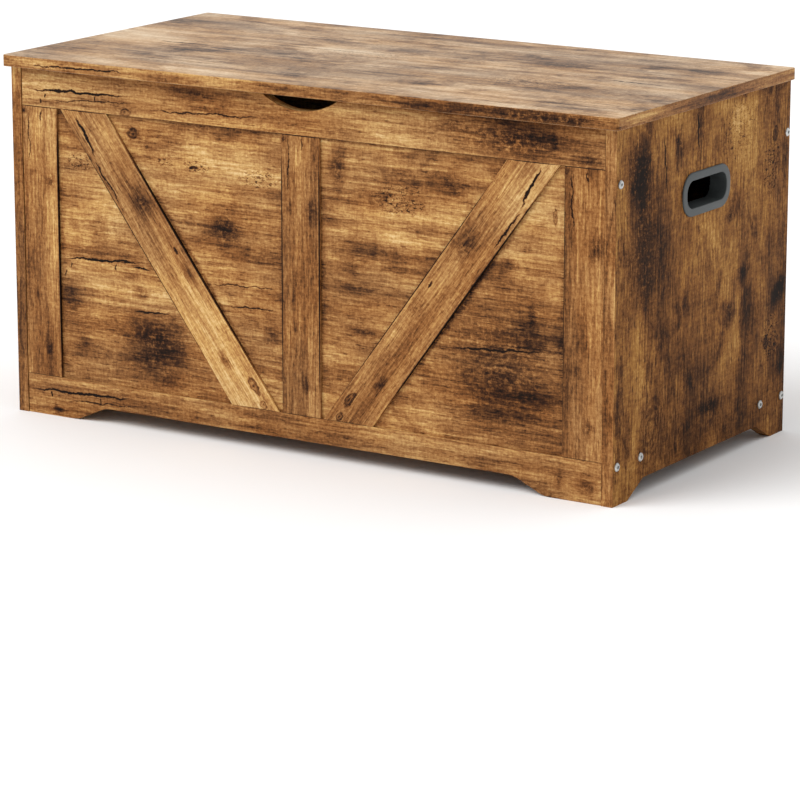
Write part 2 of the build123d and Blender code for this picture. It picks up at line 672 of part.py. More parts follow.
def strut(side, name):
    """One gas strut: tube, rod with its piston, and an end fitting on each."""
    with BuildPart() as tube:
        disc_run(side, TUBE_START, TUBE_END, TUBE_R)
        disc_run(side, TUBE_START + 4, TUBE_END - 8, TUBE_BORE, Mode.SUBTRACT)
        disc_run(side, TUBE_END - 9, TUBE_END + 1, ROD_R + 0.06, Mode.SUBTRACT)
    tube.part.label = f"strut_tube_{name}"
    export_step(tube.part, f"parts/strut_tube_{name}.step")
    with BuildPart() as rod:
        disc_run(side, TUBE_START + 8, STRUT_LEN - 14, ROD_R)
        disc_run(side, TUBE_START + 6, TUBE_START + 12, TUBE_BORE - 0.1)
    rod.part.label = f"strut_rod_{name}"
    export_step(rod.part, f"parts/strut_rod_{name}.step")
    for along, reach, bore, end in ((0, TUBE_START, STUD_R + 0.05, "base"), (STRUT_LEN, -14.0, 0, "rod")):
        fitting = strut_eye(side, along, reach, bore)
        fitting.part.label = f"strut_{end}_end_{name}"
        export_step(fitting.part, f"parts/strut_{end}_end_{name}.step")


os.makedirs("parts", exist_ok=True)
SIDES = ((-1, "left"), (1, "right"))
for s, n in SIDES:
    side_panel(s, f"side_panel_{n}")
    grip(s, n)
    bolts(s, n)
    nuts(s, n)
    dowels(s, n)
    hinge_cup(s * HINGE_X, n)
    hinge_arm(s * HINGE_X, n)
    hinge_plate(s * HINGE_X, n)
    hinge_link(s * HINGE_X, n)
    lid_bracket(s, n)
    side_bracket(s, n)
    strut(s, n)
front_panel()
front_strips()
back_panel()
bottom_panel()
lid()
bumpers()
cup_pins()
arm_pins()
side_screws()
screws_up("hinge_cup_screws", [(s * HINGE_X + d * CUP_SCREW_X, WING_Y) for s in (-1, 1) for d in (-1, 1)],
          LID_Z - WING_T, 3.6, 1.6, 1.5, 11.0)
screws_up("lid_bracket_screws", [(s * LID_SCREW_X, y) for s in (-1, 1) for y in LID_SCREW_Y],
          LID_Z - LID_PLATE_T, 3.5, 1.8, 1.5, 11.0)
screws_back("hinge_plate_screws",
            [(s * HINGE_X + d * PLATE_SCREW_X, PLATE_Z) for s in (-1, 1) for d in (-1, 1)],
            BACK_IN - 2.0, 3.6, 1.8, 1.5, 12.5)
screws_back("hinge_adjust_screws", [(s * HINGE_X, z) for s in (-1, 1) for z in (404, 428)],
            ARM_FRONT, 3.4, 1.6, 1.6, 7.0)
print("strut closed length", round(STRUT_LEN, 2), "direction", [round(c, 4) for c in STRUT_U])
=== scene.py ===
import logging
import math
from dataclasses import dataclass
from enum import Enum
from typing import Iterable, Sequence

import bmesh
import bpy
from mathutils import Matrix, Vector


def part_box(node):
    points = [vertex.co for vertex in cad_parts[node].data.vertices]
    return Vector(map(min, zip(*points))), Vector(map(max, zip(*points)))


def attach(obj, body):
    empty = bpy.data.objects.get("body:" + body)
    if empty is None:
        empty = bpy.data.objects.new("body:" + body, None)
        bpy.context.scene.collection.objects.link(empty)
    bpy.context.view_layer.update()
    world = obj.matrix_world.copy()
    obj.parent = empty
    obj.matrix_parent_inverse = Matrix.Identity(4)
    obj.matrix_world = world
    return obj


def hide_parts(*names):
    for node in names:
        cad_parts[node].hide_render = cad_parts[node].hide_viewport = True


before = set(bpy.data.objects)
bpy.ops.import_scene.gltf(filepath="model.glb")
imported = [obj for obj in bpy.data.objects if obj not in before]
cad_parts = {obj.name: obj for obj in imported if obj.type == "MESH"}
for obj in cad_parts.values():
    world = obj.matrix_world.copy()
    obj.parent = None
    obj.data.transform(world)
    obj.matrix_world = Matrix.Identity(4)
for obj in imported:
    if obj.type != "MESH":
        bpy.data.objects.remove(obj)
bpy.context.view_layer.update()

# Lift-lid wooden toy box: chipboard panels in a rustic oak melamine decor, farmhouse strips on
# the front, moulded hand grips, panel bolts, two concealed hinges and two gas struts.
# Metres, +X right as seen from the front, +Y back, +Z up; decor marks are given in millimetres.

LOG = logging.getLogger("toy_box")
MM = 0.001
SIDES = ("left", "right")
GRAIN_UPRIGHT = 90.0     # degrees from level
Colour = tuple[float, float, float, float]
Socket = bpy.types.NodeSocket


# --------------------------------------------------------------------------------------------
# Small tools: colour, nodes, meshes
# --------------------------------------------------------------------------------------------
def srgb(code: str) -> Colour:
    """Turns an sRGB hex value into a linear colour.

    Args:
        code: six hex digits, with or without a leading hash.

    Returns:
        Linear red, green and blue, and an alpha of one.
    """
    digits = code.lstrip("#")
    parts = [int(digits[i:i + 2], 16) / 255 for i in (0, 2, 4)]
    linear = [p / 12.92 if p <= 0.04045 else ((p + 0.055) / 1.055) ** 2.4 for p in parts]
    return (linear[0], linear[1], linear[2], 1.0)


def add_node(tree: bpy.types.NodeTree, kind: str, inputs: dict | None = None, out: int | str = 0,
             **settings) -> Socket | bpy.types.Node:
    """Adds one node, sets it up and links it.

    Args:
        tree: the node tree that gets the node.
        kind: the node's Blender type name.
        inputs: socket name or number to a value, or to a socket to link from.
        out: name or number of the output to return.
        **settings: attributes of the node.

    Returns:
        The chosen output socket, or the node itself where it has no output.
    """
    made = tree.nodes.new(kind)
    for name, value in settings.items():
        setattr(made, name, value)
    for key, value in (inputs or {}).items():
        if isinstance(value, Socket):
            tree.links.new(value, made.inputs[key])
        else:
            made.inputs[key].default_value = value
    return made.outputs[out] if made.outputs else made


def calc(tree: bpy.types.NodeTree, operation: str, *values: Socket | float) -> Socket:
    """Adds a math node for the operation, with the values on its inputs in order."""
    return add_node(tree, "ShaderNodeMath", dict(enumerate(values)), operation=operation)


def remap(tree: bpy.types.NodeTree, value: Socket, *ends: Socket | float,
          curve: str = "LINEAR") -> Socket:
    """Adds a node that turns one range of values into another.

    Args:
        tree: the node tree.
        value: the value to turn.
        *ends: lowest and highest value, then what those two become.
        curve: the node's interpolation.

    Returns:
        The turned value.
    """
    return add_node(tree, "ShaderNodeMapRange", dict(enumerate((value, *ends))),
                    interpolation_type=curve)


def noise(tree: bpy.types.NodeTree, at: Socket, scale: float, detail: float, rough: float = 0.5,
          distort: float = 0.0, out: int = 0) -> Socket:
    """Adds a noise node.

    Args:
        tree: the material's tree.
        at: the place to look the noise up.
        scale: how many times the noise repeats in one unit.
        detail: how many finer layers it has.
        rough: how strong those are.
        distort: how far it is bent.
        out: 0 for its value and 1 for its colour.

    Returns:
        The chosen output.
    """
    return add_node(tree, "ShaderNodeTexNoise", {
        "Vector": at, "Scale": scale, "Detail": detail, "Roughness": rough,
        "Distortion": distort}, out=out)


def ramp(tree: bpy.types.NodeTree, value: Socket, stops: Sequence[tuple[float, str]]) -> Socket:
    """Adds a colour ramp.

    Args:
        tree: the material's tree.
        value: the value that picks the colour.
        stops: place and hex colour of each stop, in order.

    Returns:
        The ramp's colour.
    """
    colour = add_node(tree, "ShaderNodeValToRGB", {0: value})
    elements = colour.node.color_ramp.elements
    while len(elements) < len(stops):
        elements.new(1.0)
    for element, (spot, code) in zip(elements, stops):
        element.position = spot
        element.color = srgb(code)
    return colour


def dress_surface(tree: bpy.types.NodeTree, shader: bpy.types.Node, colour: Socket,
                  gloss: Sequence[Socket | float] = (), bump: Sequence[Socket | float] = ()) -> None:
    """Links a shader's colour, roughness and relief.

    Args:
        tree: the material's tree.
        shader: the Principled node.
        colour: the base colour.
        gloss: what remap needs to make the roughness, or nothing.
        bump: height, strength and distance in metres, or nothing.
    """
    tree.links.new(colour, shader.inputs["Base Color"])
    if gloss:
        tree.links.new(remap(tree, *gloss), shader.inputs["Roughness"])
    if bump:
        inputs = dict(zip(("Height", "Strength", "Distance"), bump))
        tree.links.new(add_node(tree, "ShaderNodeBump", inputs), shader.inputs["Normal"])


def new_material(name: str, fixed: dict[str, float | Colour] | None = None
                 ) -> tuple[bpy.types.Material, bpy.types.NodeTree, bpy.types.Node]:
    """Starts a material with an empty tree, a Principled shader and an output.

    Args:
        name: the real material's name.
        fixed: the shader's plain values by socket name.

    Returns:
        The material, its tree and the Principled node.
    """
    material = bpy.data.materials.new(name)
    material.use_nodes = True
    tree = material.node_tree
    tree.nodes.clear()
    shader = add_node(tree, "ShaderNodeBsdfPrincipled", fixed)
    add_node(tree, "ShaderNodeOutputMaterial", {"Surface": shader})
    return material, tree, shader.node


def link_mesh(name: str, mesh: bpy.types.Mesh) -> bpy.types.Object:
    """Makes an object at the origin from a mesh that already lies in place."""
    made = bpy.data.objects.new(name, mesh)
    bpy.context.scene.collection.objects.link(made)
    return made


def solid_copy(node: str, flat_angle: float = 0.5) -> bmesh.types.BMesh:
    """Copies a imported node's loose triangles and merges them into closed solids.

    Args:
        node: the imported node's name.
        flat_angle: faces within this many degrees of each other become one face.

    Returns:
        The merged copy.
    """
    solid = bmesh.new()
    solid.from_mesh(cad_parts[node].data)
    bmesh.ops.remove_doubles(solid, verts=solid.verts, dist=2e-6)
    bmesh.ops.dissolve_limit(solid, angle_limit=math.radians(flat_angle), verts=solid.verts,
                             edges=solid.edges)
    return solid


def islands(node: str) -> list[tuple[Vector, Vector]]:
    """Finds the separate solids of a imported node.

    Args:
        node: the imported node's name.

    Returns:
        Lowest and highest corner of each solid, in the row frame.
    """
    solid = solid_copy(node)
    left, found = set(solid.verts), []
    while left:
        queue, group = [left.pop()], []
        while queue:
            vertex = queue.pop()
            group.append(vertex.co.copy())
            for edge in vertex.link_edges:
                other = edge.other_vert(vertex)
                if other in left:
                    left.discard(other)
                    queue.append(other)
        found.append((Vector(map(min, *group)), Vector(map(max, *group))))
    solid.free()
    return sorted(found, key=lambda box: tuple(round(c, 4) for c in box[0]))


def finished(piece: bpy.types.Object, sharp: float = 20.0) -> bpy.types.Object:
    """Turns a piece with live modifiers into a plain mesh with smooth rounds and crisp edges.

    Args:
        piece: the object with its modifiers.
        sharp: edges steeper than this many degrees stay crisp.

    Returns:
        The same object, holding the finished mesh.
    """
    graph = bpy.context.evaluated_depsgraph_get()
    flat = bpy.data.objects.new("flat", bpy.data.meshes.new_from_object(
        piece.evaluated_get(graph), depsgraph=graph))
    mesh = flat.data
    bpy.data.objects.remove(flat)
    piece.modifiers.clear()
    piece.data = mesh
    mesh.shade_smooth()
    mesh.set_sharp_from_angle(angle=math.radians(sharp))
    return piece


def paint(piece: bpy.types.Object, *materials: bpy.types.Material) -> None:
    """Gives a piece new materials and lays the first one on every face.

    Args:
        piece: the finished object.
        *materials: its materials.
    """
    piece.data.materials.clear()
    for material in materials:
        piece.data.materials.append(material)
    for face in piece.data.polygons:
        face.material_index = 0


def place(piece: bpy.types.Object, body: str, nodes: Iterable[str], slot: str) -> None:
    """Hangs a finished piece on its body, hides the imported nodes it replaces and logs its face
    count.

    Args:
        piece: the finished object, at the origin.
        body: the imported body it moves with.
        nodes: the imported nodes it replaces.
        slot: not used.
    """
    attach(piece, body)
    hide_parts(*nodes)
    LOG.info("%-26s on %-18s %6d faces", piece.name, body, len(piece.data.polygons))


def softened(node: str, edge: float, name: str = "", corner: float = 38.0) -> bpy.types.Object:
    """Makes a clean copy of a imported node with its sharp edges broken.

    Args:
        node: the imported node's name.
        edge: width of the broken edge in metres.
        name: the piece's name, or nothing to add a plain ending to the node's.
        corner: edges steeper than this many degrees are broken.

    Returns:
        The finished object, not yet on a body.
    """
    solid = solid_copy(node)
    mesh = bpy.data.meshes.new(name or f"{node}_finished")
    solid.to_mesh(mesh)
    solid.free()
    piece = link_mesh(mesh.name, mesh)
    bevel = piece.modifiers.new("broken edge", "BEVEL")
    bevel.width = edge
    bevel.segments = 2
    bevel.limit_method = "ANGLE"
    bevel.angle_limit = math.radians(corner)
    bevel.use_clamp_overlap = True
    finished(piece)
    low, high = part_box(node)
    for vertex in piece.data.vertices:      # rounding must not push a corner out of the CAD box
        vertex.co = [min(max(c, a), b) for c, a, b in zip(vertex.co, low, high)]
    return piece


# --------------------------------------------------------------------------------------------
# Finishes
# --------------------------------------------------------------------------------------------
class Plane(Enum):
    """Which row-frame directions run across, up and through a board."""

    FRONT = ((1, 0, 0), (0, 0, 1), (0, 1, 0))
    SIDE = ((0, 1, 0), (0, 0, 1), (1, 0, 0))
    TOP = ((1, 0, 0), (0, 1, 0), (0, 0, 1))
    RIM = ((1, 1, 0), (0, 0, 1), (0, 0, 0))      # edge banding, followed round a corner


class Print(Enum):
    """The kinds of mark in the printed decor, and of painted shade."""

    STAIN = "stain"        # smoky patch with a ragged border; the long thin ones on the front board are painted shade beside the strips
    GLOW = "glow"          # pale, planed-off patch
    CRACK = "crack"        # thin black split along the grain
    KNOT = "knot"          # black eye with a few rings
    RINGS = "rings"        # wide oval year rings
    FLECKS = "flecks"      # field of small black chips
    SEAM = "seam"          # painted shadow line along a strip's edges and in the gaps between parts


# How far noise pushes a mark's border, and how wide the border fades, in parts of the mark.
RAGGED = {Print.STAIN: 1.7, Print.GLOW: 1.4, Print.FLECKS: 1.2, Print.KNOT: 0.8, Print.SEAM: 0.1,
          Print.CRACK: 0.35, Print.RINGS: 0.35}
FADE = {Print.STAIN: 1.05, Print.GLOW: 1.2, Print.FLECKS: 0.6, Print.RINGS: 0.6, Print.CRACK: 0.45,
        Print.KNOT: 0.45, Print.SEAM: 0.45}
WAVES = {Print.RINGS: 34.0, Print.KNOT: 6.0}     # radians of ring pattern across a mark


@dataclass(frozen=True)
class Mark:
    """One mark of the decor or of painted shade, on the board's own plane, in millimetres."""

    kind: Print
    across: float
    up: float
    long: float
    wide: float
    depth: float           # tone taken away in its middle; negative adds tone
    turn: float = 0.0      # degrees, anticlockwise

    def tone(self, tree: bpy.types.NodeTree, at: Socket, rough: Socket, chips: Socket) -> Socket:
        """Builds how much the mark darkens the decor.

        Args:
            tree: the material's tree.
            at: place on the board in millimetres, a little warped.
            rough: noise that makes borders ragged.
            chips: pattern of small dark chips.

        Returns:
            Tone to take away, zero outside the mark.
        """
        local = add_node(tree, "ShaderNodeMapping", {
            "Vector": at, "Location": (self.across, self.up, 0.0),
            "Rotation": (0.0, 0.0, math.radians(self.turn)),
            "Scale": (self.long, self.wide, 1e5)}, vector_type="TEXTURE")
        reach = add_node(tree, "ShaderNodeVectorMath", {0: local}, out=1, operation="LENGTH")
        ragged = RAGGED[self.kind]
        border = calc(tree, "MULTIPLY_ADD", rough, ragged, reach)
        outer = 1.0 + ragged / 2
        mask = remap(tree, border, outer, outer - FADE[self.kind], 0.0, self.depth,
                     curve="SMOOTHSTEP")
        if self.kind is Print.FLECKS:
            return calc(tree, "MULTIPLY", mask, chips)
        if self.kind is Print.STAIN:
            return calc(tree, "MULTIPLY", mask, remap(tree, rough, 0.38, 0.62, 0.2, 1.4))
        if self.kind in WAVES:
            wave = calc(tree, "SINE", calc(tree, "MULTIPLY", border, WAVES[self.kind]))
            return calc(tree, "MULTIPLY", mask, remap(tree, wave, -1.0, 1.0, 0.25, 1.0))
        return mask


@dataclass(frozen=True)
class Layer:
    """One layer of printed grain: noise stretched along the board, sizes in millimetres."""

    along: float
    across: float
    detail: float = 3.0
    rough: float = 0.55
    distort: float = 0.0

    def value(self, tree: bpy.types.NodeTree, grain: Socket, seed: float) -> Socket:
        """Builds the layer's noise, about 0.5 on average.

        Args:
            tree: the material's tree.
            grain: place in millimetres, first axis along the grain.
            seed: shifts the pattern, so that no two boards match.

        Returns:
            The noise value.
        """
        scaled = add_node(tree, "ShaderNodeMapping", {
            "Vector": grain, "Location": (seed * 3.17, seed * 7.31, seed),
            "Scale": (1 / self.along, 1 / self.across, 1 / self.across)})
        return noise(tree, scaled, 1.0, self.detail, self.rough, self.distort)


@dataclass(frozen=True)
class Palette:
    """Tones of the printed paper from the blackest crack to the palest fibre."""

    warm: tuple[str, ...]
    grey: tuple[str, ...]
    greyness: float

    def stops(self, codes: Sequence[str]) -> list[tuple[float, str]]:
        """Spreads the hex tones evenly over the ramp."""
        return [(i / (len(codes) - 1), code) for i, code in enumerate(codes)]


OAK = Palette(("160b05", "361d0e", "5c381b", "88562c", "ac7a46", "cca05f", "e3c188"),
              ("190f08", "38261a", "5d412a", "80603e", "a07d54", "c0a175", "d8bd94"), 0.22)
# A darker, less grey copy of the oak print: painted shade on the side and back boards.
SHADED_OAK = Palette(("160b05", "311c0b", "573418", "825329", "a6753b", "c69855", "dcb57e"),
                   ("180f08", "35221a", "553a24", "785633", "966f45", "b28c5d", "caa97a"), 0.12)
# A paler, greyer copy of the oak print for the lid top: partly the lid's lighter print, partly painted
# sheen.
PALE_OAK_AND_SHEEN = Palette(("1b1009", "402b1a", "6d4e34", "96714d", "b99268", "d4b38c", "e5cdac"),
                   ("1f1610", "43352a", "6c5948", "937b64", "b29a80", "cdb89b", "dfceb6"), 0.50)


@dataclass(frozen=True)
class Laminate:
    """Melamine laminate printed as rustic oak: hard, low sheen, faintly embossed along the grain.

    The print carries all of the knots and cracks, so the surface itself stays flat; the eye gets a
    soft broad highlight with fine streaks in it.
    """

    name: str
    plane: Plane
    grain_turn: float = 0.0
    seed: float = 1.0
    base: float = 0.60         # tone before the layers and marks
    palette: Palette = OAK
    mottle: float = 0.30       # weight of the weathered mottling
    marks: tuple[Mark, ...] = ()
    patch: float = 0.16        # how dark the smoky patches are
    sheen: float = 0.09        # specular level
    bands: float = 0.36        # weight of the year-ring bands

    def build(self) -> bpy.types.Material:
        """Builds the material."""
        material, tree, shader = new_material(
            f"melamine_laminate_{self.name}", {"IOR": 1.5, "Specular IOR Level": self.sheen})
        board = self.board_place(tree)
        grain = add_node(tree, "ShaderNodeMapping", {
            "Vector": board, "Rotation": (0.0, 0.0, -math.radians(self.grain_turn))})
        fibre = Layer(70.0, 2.3, 4.0, 0.68).value(tree, grain, self.seed)
        pores = Layer(15.0, 2.0, 2.0, 0.6).value(tree, grain, self.seed + 5.0)
        tone = self.tone(tree, board, grain, fibre, pores)
        # The pressed-in pores are about 0.05 mm deep; they are drawn deeper to show.
        relief = calc(tree, "MULTIPLY_ADD", pores, 0.6, fibre)
        dress_surface(tree, shader, self.colour(tree, grain, tone),
                      (fibre, 0.25, 0.75, 0.36, 0.52), (relief, 0.35, 0.2 * MM))
        return material

    def board_place(self, tree: bpy.types.NodeTree) -> Socket:
        """Builds the place on the board: across, up and through, in millimetres."""
        spot = add_node(tree, "ShaderNodeTexCoord", out="Object")
        parts = [add_node(tree, "ShaderNodeVectorMath", {0: spot, 1: Vector(axis) / MM}, out=1,
                          operation="DOT_PRODUCT") for axis in self.plane.value]
        return add_node(tree, "ShaderNodeCombineXYZ", {0: parts[0], 1: parts[1], 2: parts[2]})

    def tone(self, tree: bpy.types.NodeTree, board: Socket, grain: Socket, fibre: Socket,
             pores: Socket) -> Socket:
        """Adds up the grain layers and the marks.

        Args:
            tree: the material's tree.
            board: place on the board in millimetres.
            grain: the same place, turned so that its first axis follows the grain.
            fibre: the fine streaks.
            pores: the short dark dashes.

        Returns:
            Tone from zero, black, to one, the palest.
        """
        wander = noise(tree, grain, 0.016, 3.0, 0.6, out=1)
        layers = (
            (Layer(330.0, 120.0, 2.0, 0.5, 0.4), 0.42),      # broad light and dark fields
            (Layer(300.0, 15.0, 4.0, 0.62, 0.4), self.bands),  # bands of the year rings
            (Layer(60.0, 42.0, 6.0, 0.74, 0.6), self.mottle),  # weathered mottling
            (Layer(4.0, 2.6, 4.0, 0.8), 0.30),               # gritty speckle
            (Layer(3.2, 16.0, 2.0, 0.6), 0.12),              # cross-cut saw marks
        )
        total: Socket | float = self.base
        for number, (layer, weight) in enumerate(layers):
            value = layer.value(tree, grain, self.seed + 11.0 * (number + 1))
            centred = calc(tree, "SUBTRACT", value, 0.5)
            total = calc(tree, "MULTIPLY_ADD", centred, weight * 2, total)
        smoke = Layer(88.0, 50.0, 6.0, 0.72, 0.3).value(tree, grain, self.seed + 70.0)
        patch = remap(tree, smoke, 0.5, 0.66, 0.0, -self.patch, curve="SMOOTHSTEP")
        total = calc(tree, "ADD", total, patch)
        total = self.figure(tree, grain, wander, total)
        streak = remap(tree, fibre, 0.3, 0.7, -0.15, 0.12)
        total = calc(tree, "ADD", total, streak)
        dash = remap(tree, pores, 0.57, 0.7, 0.0, -0.2)
        total = calc(tree, "ADD", total, dash)
        return self.marked(tree, board, wander, total)

    def figure(self, tree: bpy.types.NodeTree, grain: Socket, wander: Socket,
               total: Socket) -> Socket:
        """Adds the fine year-ring lines, which wander like sawn oak.

        Args:
            tree: the material's tree.
            grain: place along and across the grain in millimetres.
            wander: slow colour noise that bends the lines.
            total: the tone so far.

        Returns:
            The tone with the lines.
        """
        bent = add_node(tree, "ShaderNodeVectorMath", {0: wander, 1: (60.0, 34.0, 20.0), 2: grain},
                        operation="MULTIPLY_ADD")
        lines = add_node(tree, "ShaderNodeMapping", {
            "Vector": bent, "Location": (self.seed, self.seed * 2.7, 0.0),
            "Scale": (1 / 1600.0, 1 / 24.0, 1 / 24.0)})
        # Year rings stand about 4 mm apart; they are drawn 7.5 mm apart to show.
        rings = add_node(tree, "ShaderNodeTexWave", {
            "Vector": lines, "Scale": 1.0, "Distortion": 0.8, "Detail": 2.0, "Detail Scale": 1.2,
            "Detail Roughness": 0.6}, out=1, wave_type="BANDS", bands_direction="Y")
        return calc(tree, "MULTIPLY_ADD", rings, 0.07, total)

    def marked(self, tree: bpy.types.NodeTree, board: Socket, wander: Socket,
               total: Socket) -> Socket:
        """Takes the listed marks off the tone.

        Args:
            tree: the material's tree.
            board: place on the board in millimetres.
            wander: slow colour noise.
            total: the tone without marks.

        Returns:
            The tone with every mark.
        """
        jitter = noise(tree, board, 0.055, 4.0, 0.6, out=1)
        centred = add_node(tree, "ShaderNodeVectorMath", {0: jitter, 1: (0.5, 0.5, 0.5)},
                           operation="SUBTRACT")
        at = add_node(tree, "ShaderNodeVectorMath", {0: centred, 1: (14.0, 11.0, 0.0), 2: board},
                      operation="MULTIPLY_ADD")
        rough = noise(tree, board, 0.16, 5.0, 0.75)
        # Chips are 1 to 2 mm; they are drawn near 4 mm long to show at this distance.
        cells = Layer(5.2, 3.0, 3.0, 0.7, 0.8).value(tree, board, self.seed)
        chips = remap(tree, cells, 0.52, 0.66, 0.0, 1.0)
        for mark in self.marks:
            # Painted shade lines keep to the unwarped board place, so that they stay straight along
            # the strip edges.
            spot = board if mark.kind is Print.SEAM else at
            shade = mark.tone(tree, spot, rough, chips)
            total = calc(tree, "SUBTRACT", total, shade)
        return total

    def colour(self, tree: bpy.types.NodeTree, grain: Socket, tone: Socket) -> Socket:
        """Turns the tone into the printed colour, warm in places and greyed in others; on the lid the
        greyed share is partly painted sheen.

        Args:
            tree: the material's tree.
            grain: place along and across the grain in millimetres.
            tone: the finished tone.

        Returns:
            The colour.
        """
        warm = ramp(tree, tone, self.palette.stops(self.palette.warm))
        grey = ramp(tree, tone, self.palette.stops(self.palette.grey))
        # The grey share is weathered grey print, and on the lid partly painted sheen.
        wear_and_sheen_grey = Layer(150.0, 55.0, 4.0, 0.6).value(tree, grain, self.seed + 90.0)
        share = remap(tree, wear_and_sheen_grey, 0.38, 0.64, 0.0, self.palette.greyness * 1.4)
        return add_node(tree, "ShaderNodeMix", {0: share, 6: warm, 7: grey}, out=2,
                        data_type="RGBA")


@dataclass(frozen=True)
class MouldedPlastic:
    """Injection-moulded ABS or nylon: dull, with a fine spark-eroded texture and rubbed high spots."""

    name: str
    deep: str
    pale: str
    roughness: float = 0.5
    grit: float = 1.1      # mm; the real texture is near 0.2 mm and is drawn coarser to show

    def build(self) -> bpy.types.Material:
        """Builds the material."""
        material, tree, shader = new_material(self.name, {"IOR": 1.53})
        spot = add_node(tree, "ShaderNodeTexCoord", out="Object")
        fine = noise(tree, spot, 1 / (self.grit * MM), 3.0, 0.6)
        broad = noise(tree, spot, 1 / (45 * MM), 4.0, 0.6)
        both = calc(tree, "MULTIPLY_ADD", fine, 0.45, broad)
        dress_surface(tree, shader, ramp(tree, both, ((0.45, self.deep), (1.0, self.pale))),
                      (broad, 0.3, 0.7, self.roughness - 0.08, self.roughness + 0.1),
                      (fine, 0.3, 0.1 * MM))
        return material


@dataclass(frozen=True)
class PlatedSteel:
    """Plated or painted steel: drawing lines, faint stains and dulled patches from handling."""

    name: str
    deep: str
    pale: str
    metallic: float = 1.0
    roughness: float = 0.3
    line: float = 0.9      # mm; real drawing lines are near 0.1 mm and are drawn coarser

    def build(self) -> bpy.types.Material:
        """Builds the material."""
        material, tree, shader = new_material(self.name, {"Metallic": self.metallic})
        spot = add_node(tree, "ShaderNodeTexCoord", out="Object")
        lines = noise(tree, spot, 1 / (self.line * MM), 3.0, 0.65)
        stain = noise(tree, spot, 1 / (16 * MM), 5.0, 0.65)
        both = calc(tree, "MULTIPLY_ADD", lines, 0.35, stain)
        dress_surface(tree, shader, ramp(tree, both, ((0.42, self.deep), (0.85, self.pale))),
                      (both, 0.4, 0.9, self.roughness - 0.07, self.roughness + 0.13),
                      (lines, 0.25, 0.06 * MM))
        return material


@dataclass(frozen=True)
class RawBeech:
    """Fluted beech dowel, raw: pale pink-brown with short darker ray flecks."""

    name: str = "beech"

    def build(self) -> bpy.types.Material:
        """Builds the material."""
        material, tree, shader = new_material(self.name, {"Roughness": 0.7})
        spot = add_node(tree, "ShaderNodeTexCoord", out="Object")
        # Ray flecks are about 1 mm wide and 3 mm long.
        scaled = add_node(tree, "ShaderNodeMapping", {
            "Vector": spot, "Scale": (1 / (3 * MM), 1 / MM, 1 / MM)})
        fleck = noise(tree, scaled, 1.0, 3.0)
        dress_surface(tree, shader, ramp(tree, fleck, ((0.3, "a97f55"), (0.7, "d9b98d"))),
                      bump=(fleck, 0.3, 0.1 * MM))
        return material


@dataclass(frozen=True)
class SoftPad:
    """Clear soft polyurethane bumper: milky, slightly translucent, with dust on it."""

    name: str = "soft_polyurethane"

    def build(self) -> bpy.types.Material:
        """Builds the material."""
        material, tree, shader = new_material(
            self.name, {"Subsurface Weight": 0.25, "Subsurface Scale": 2 * MM})
        spot = add_node(tree, "ShaderNodeTexCoord", out="Object")
        dust = noise(tree, spot, 1 / (1.5 * MM), 4.0)
        dress_surface(tree, shader, ramp(tree, dust, ((0.35, "c9c8c0"), (0.65, "ecebe4"))),
                      (dust, 0.3, 0.7, 0.25, 0.45))
        return material


# --------------------------------------------------------------------------------------------
# The decor's marks and the painted shade lines, board by board, in millimetres on the board's plane
# --------------------------------------------------------------------------------------------
def printed(**rows: Sequence[tuple[float, ...]]) -> tuple[Mark, ...]:
    """Lays out a board's marks.

    Args:
        **rows: for each kind of print, the other fields of its marks, in order.

    Returns:
        The marks.
    """
    return tuple(Mark(Print(kind), *row) for kind, group in rows.items() for row in group)


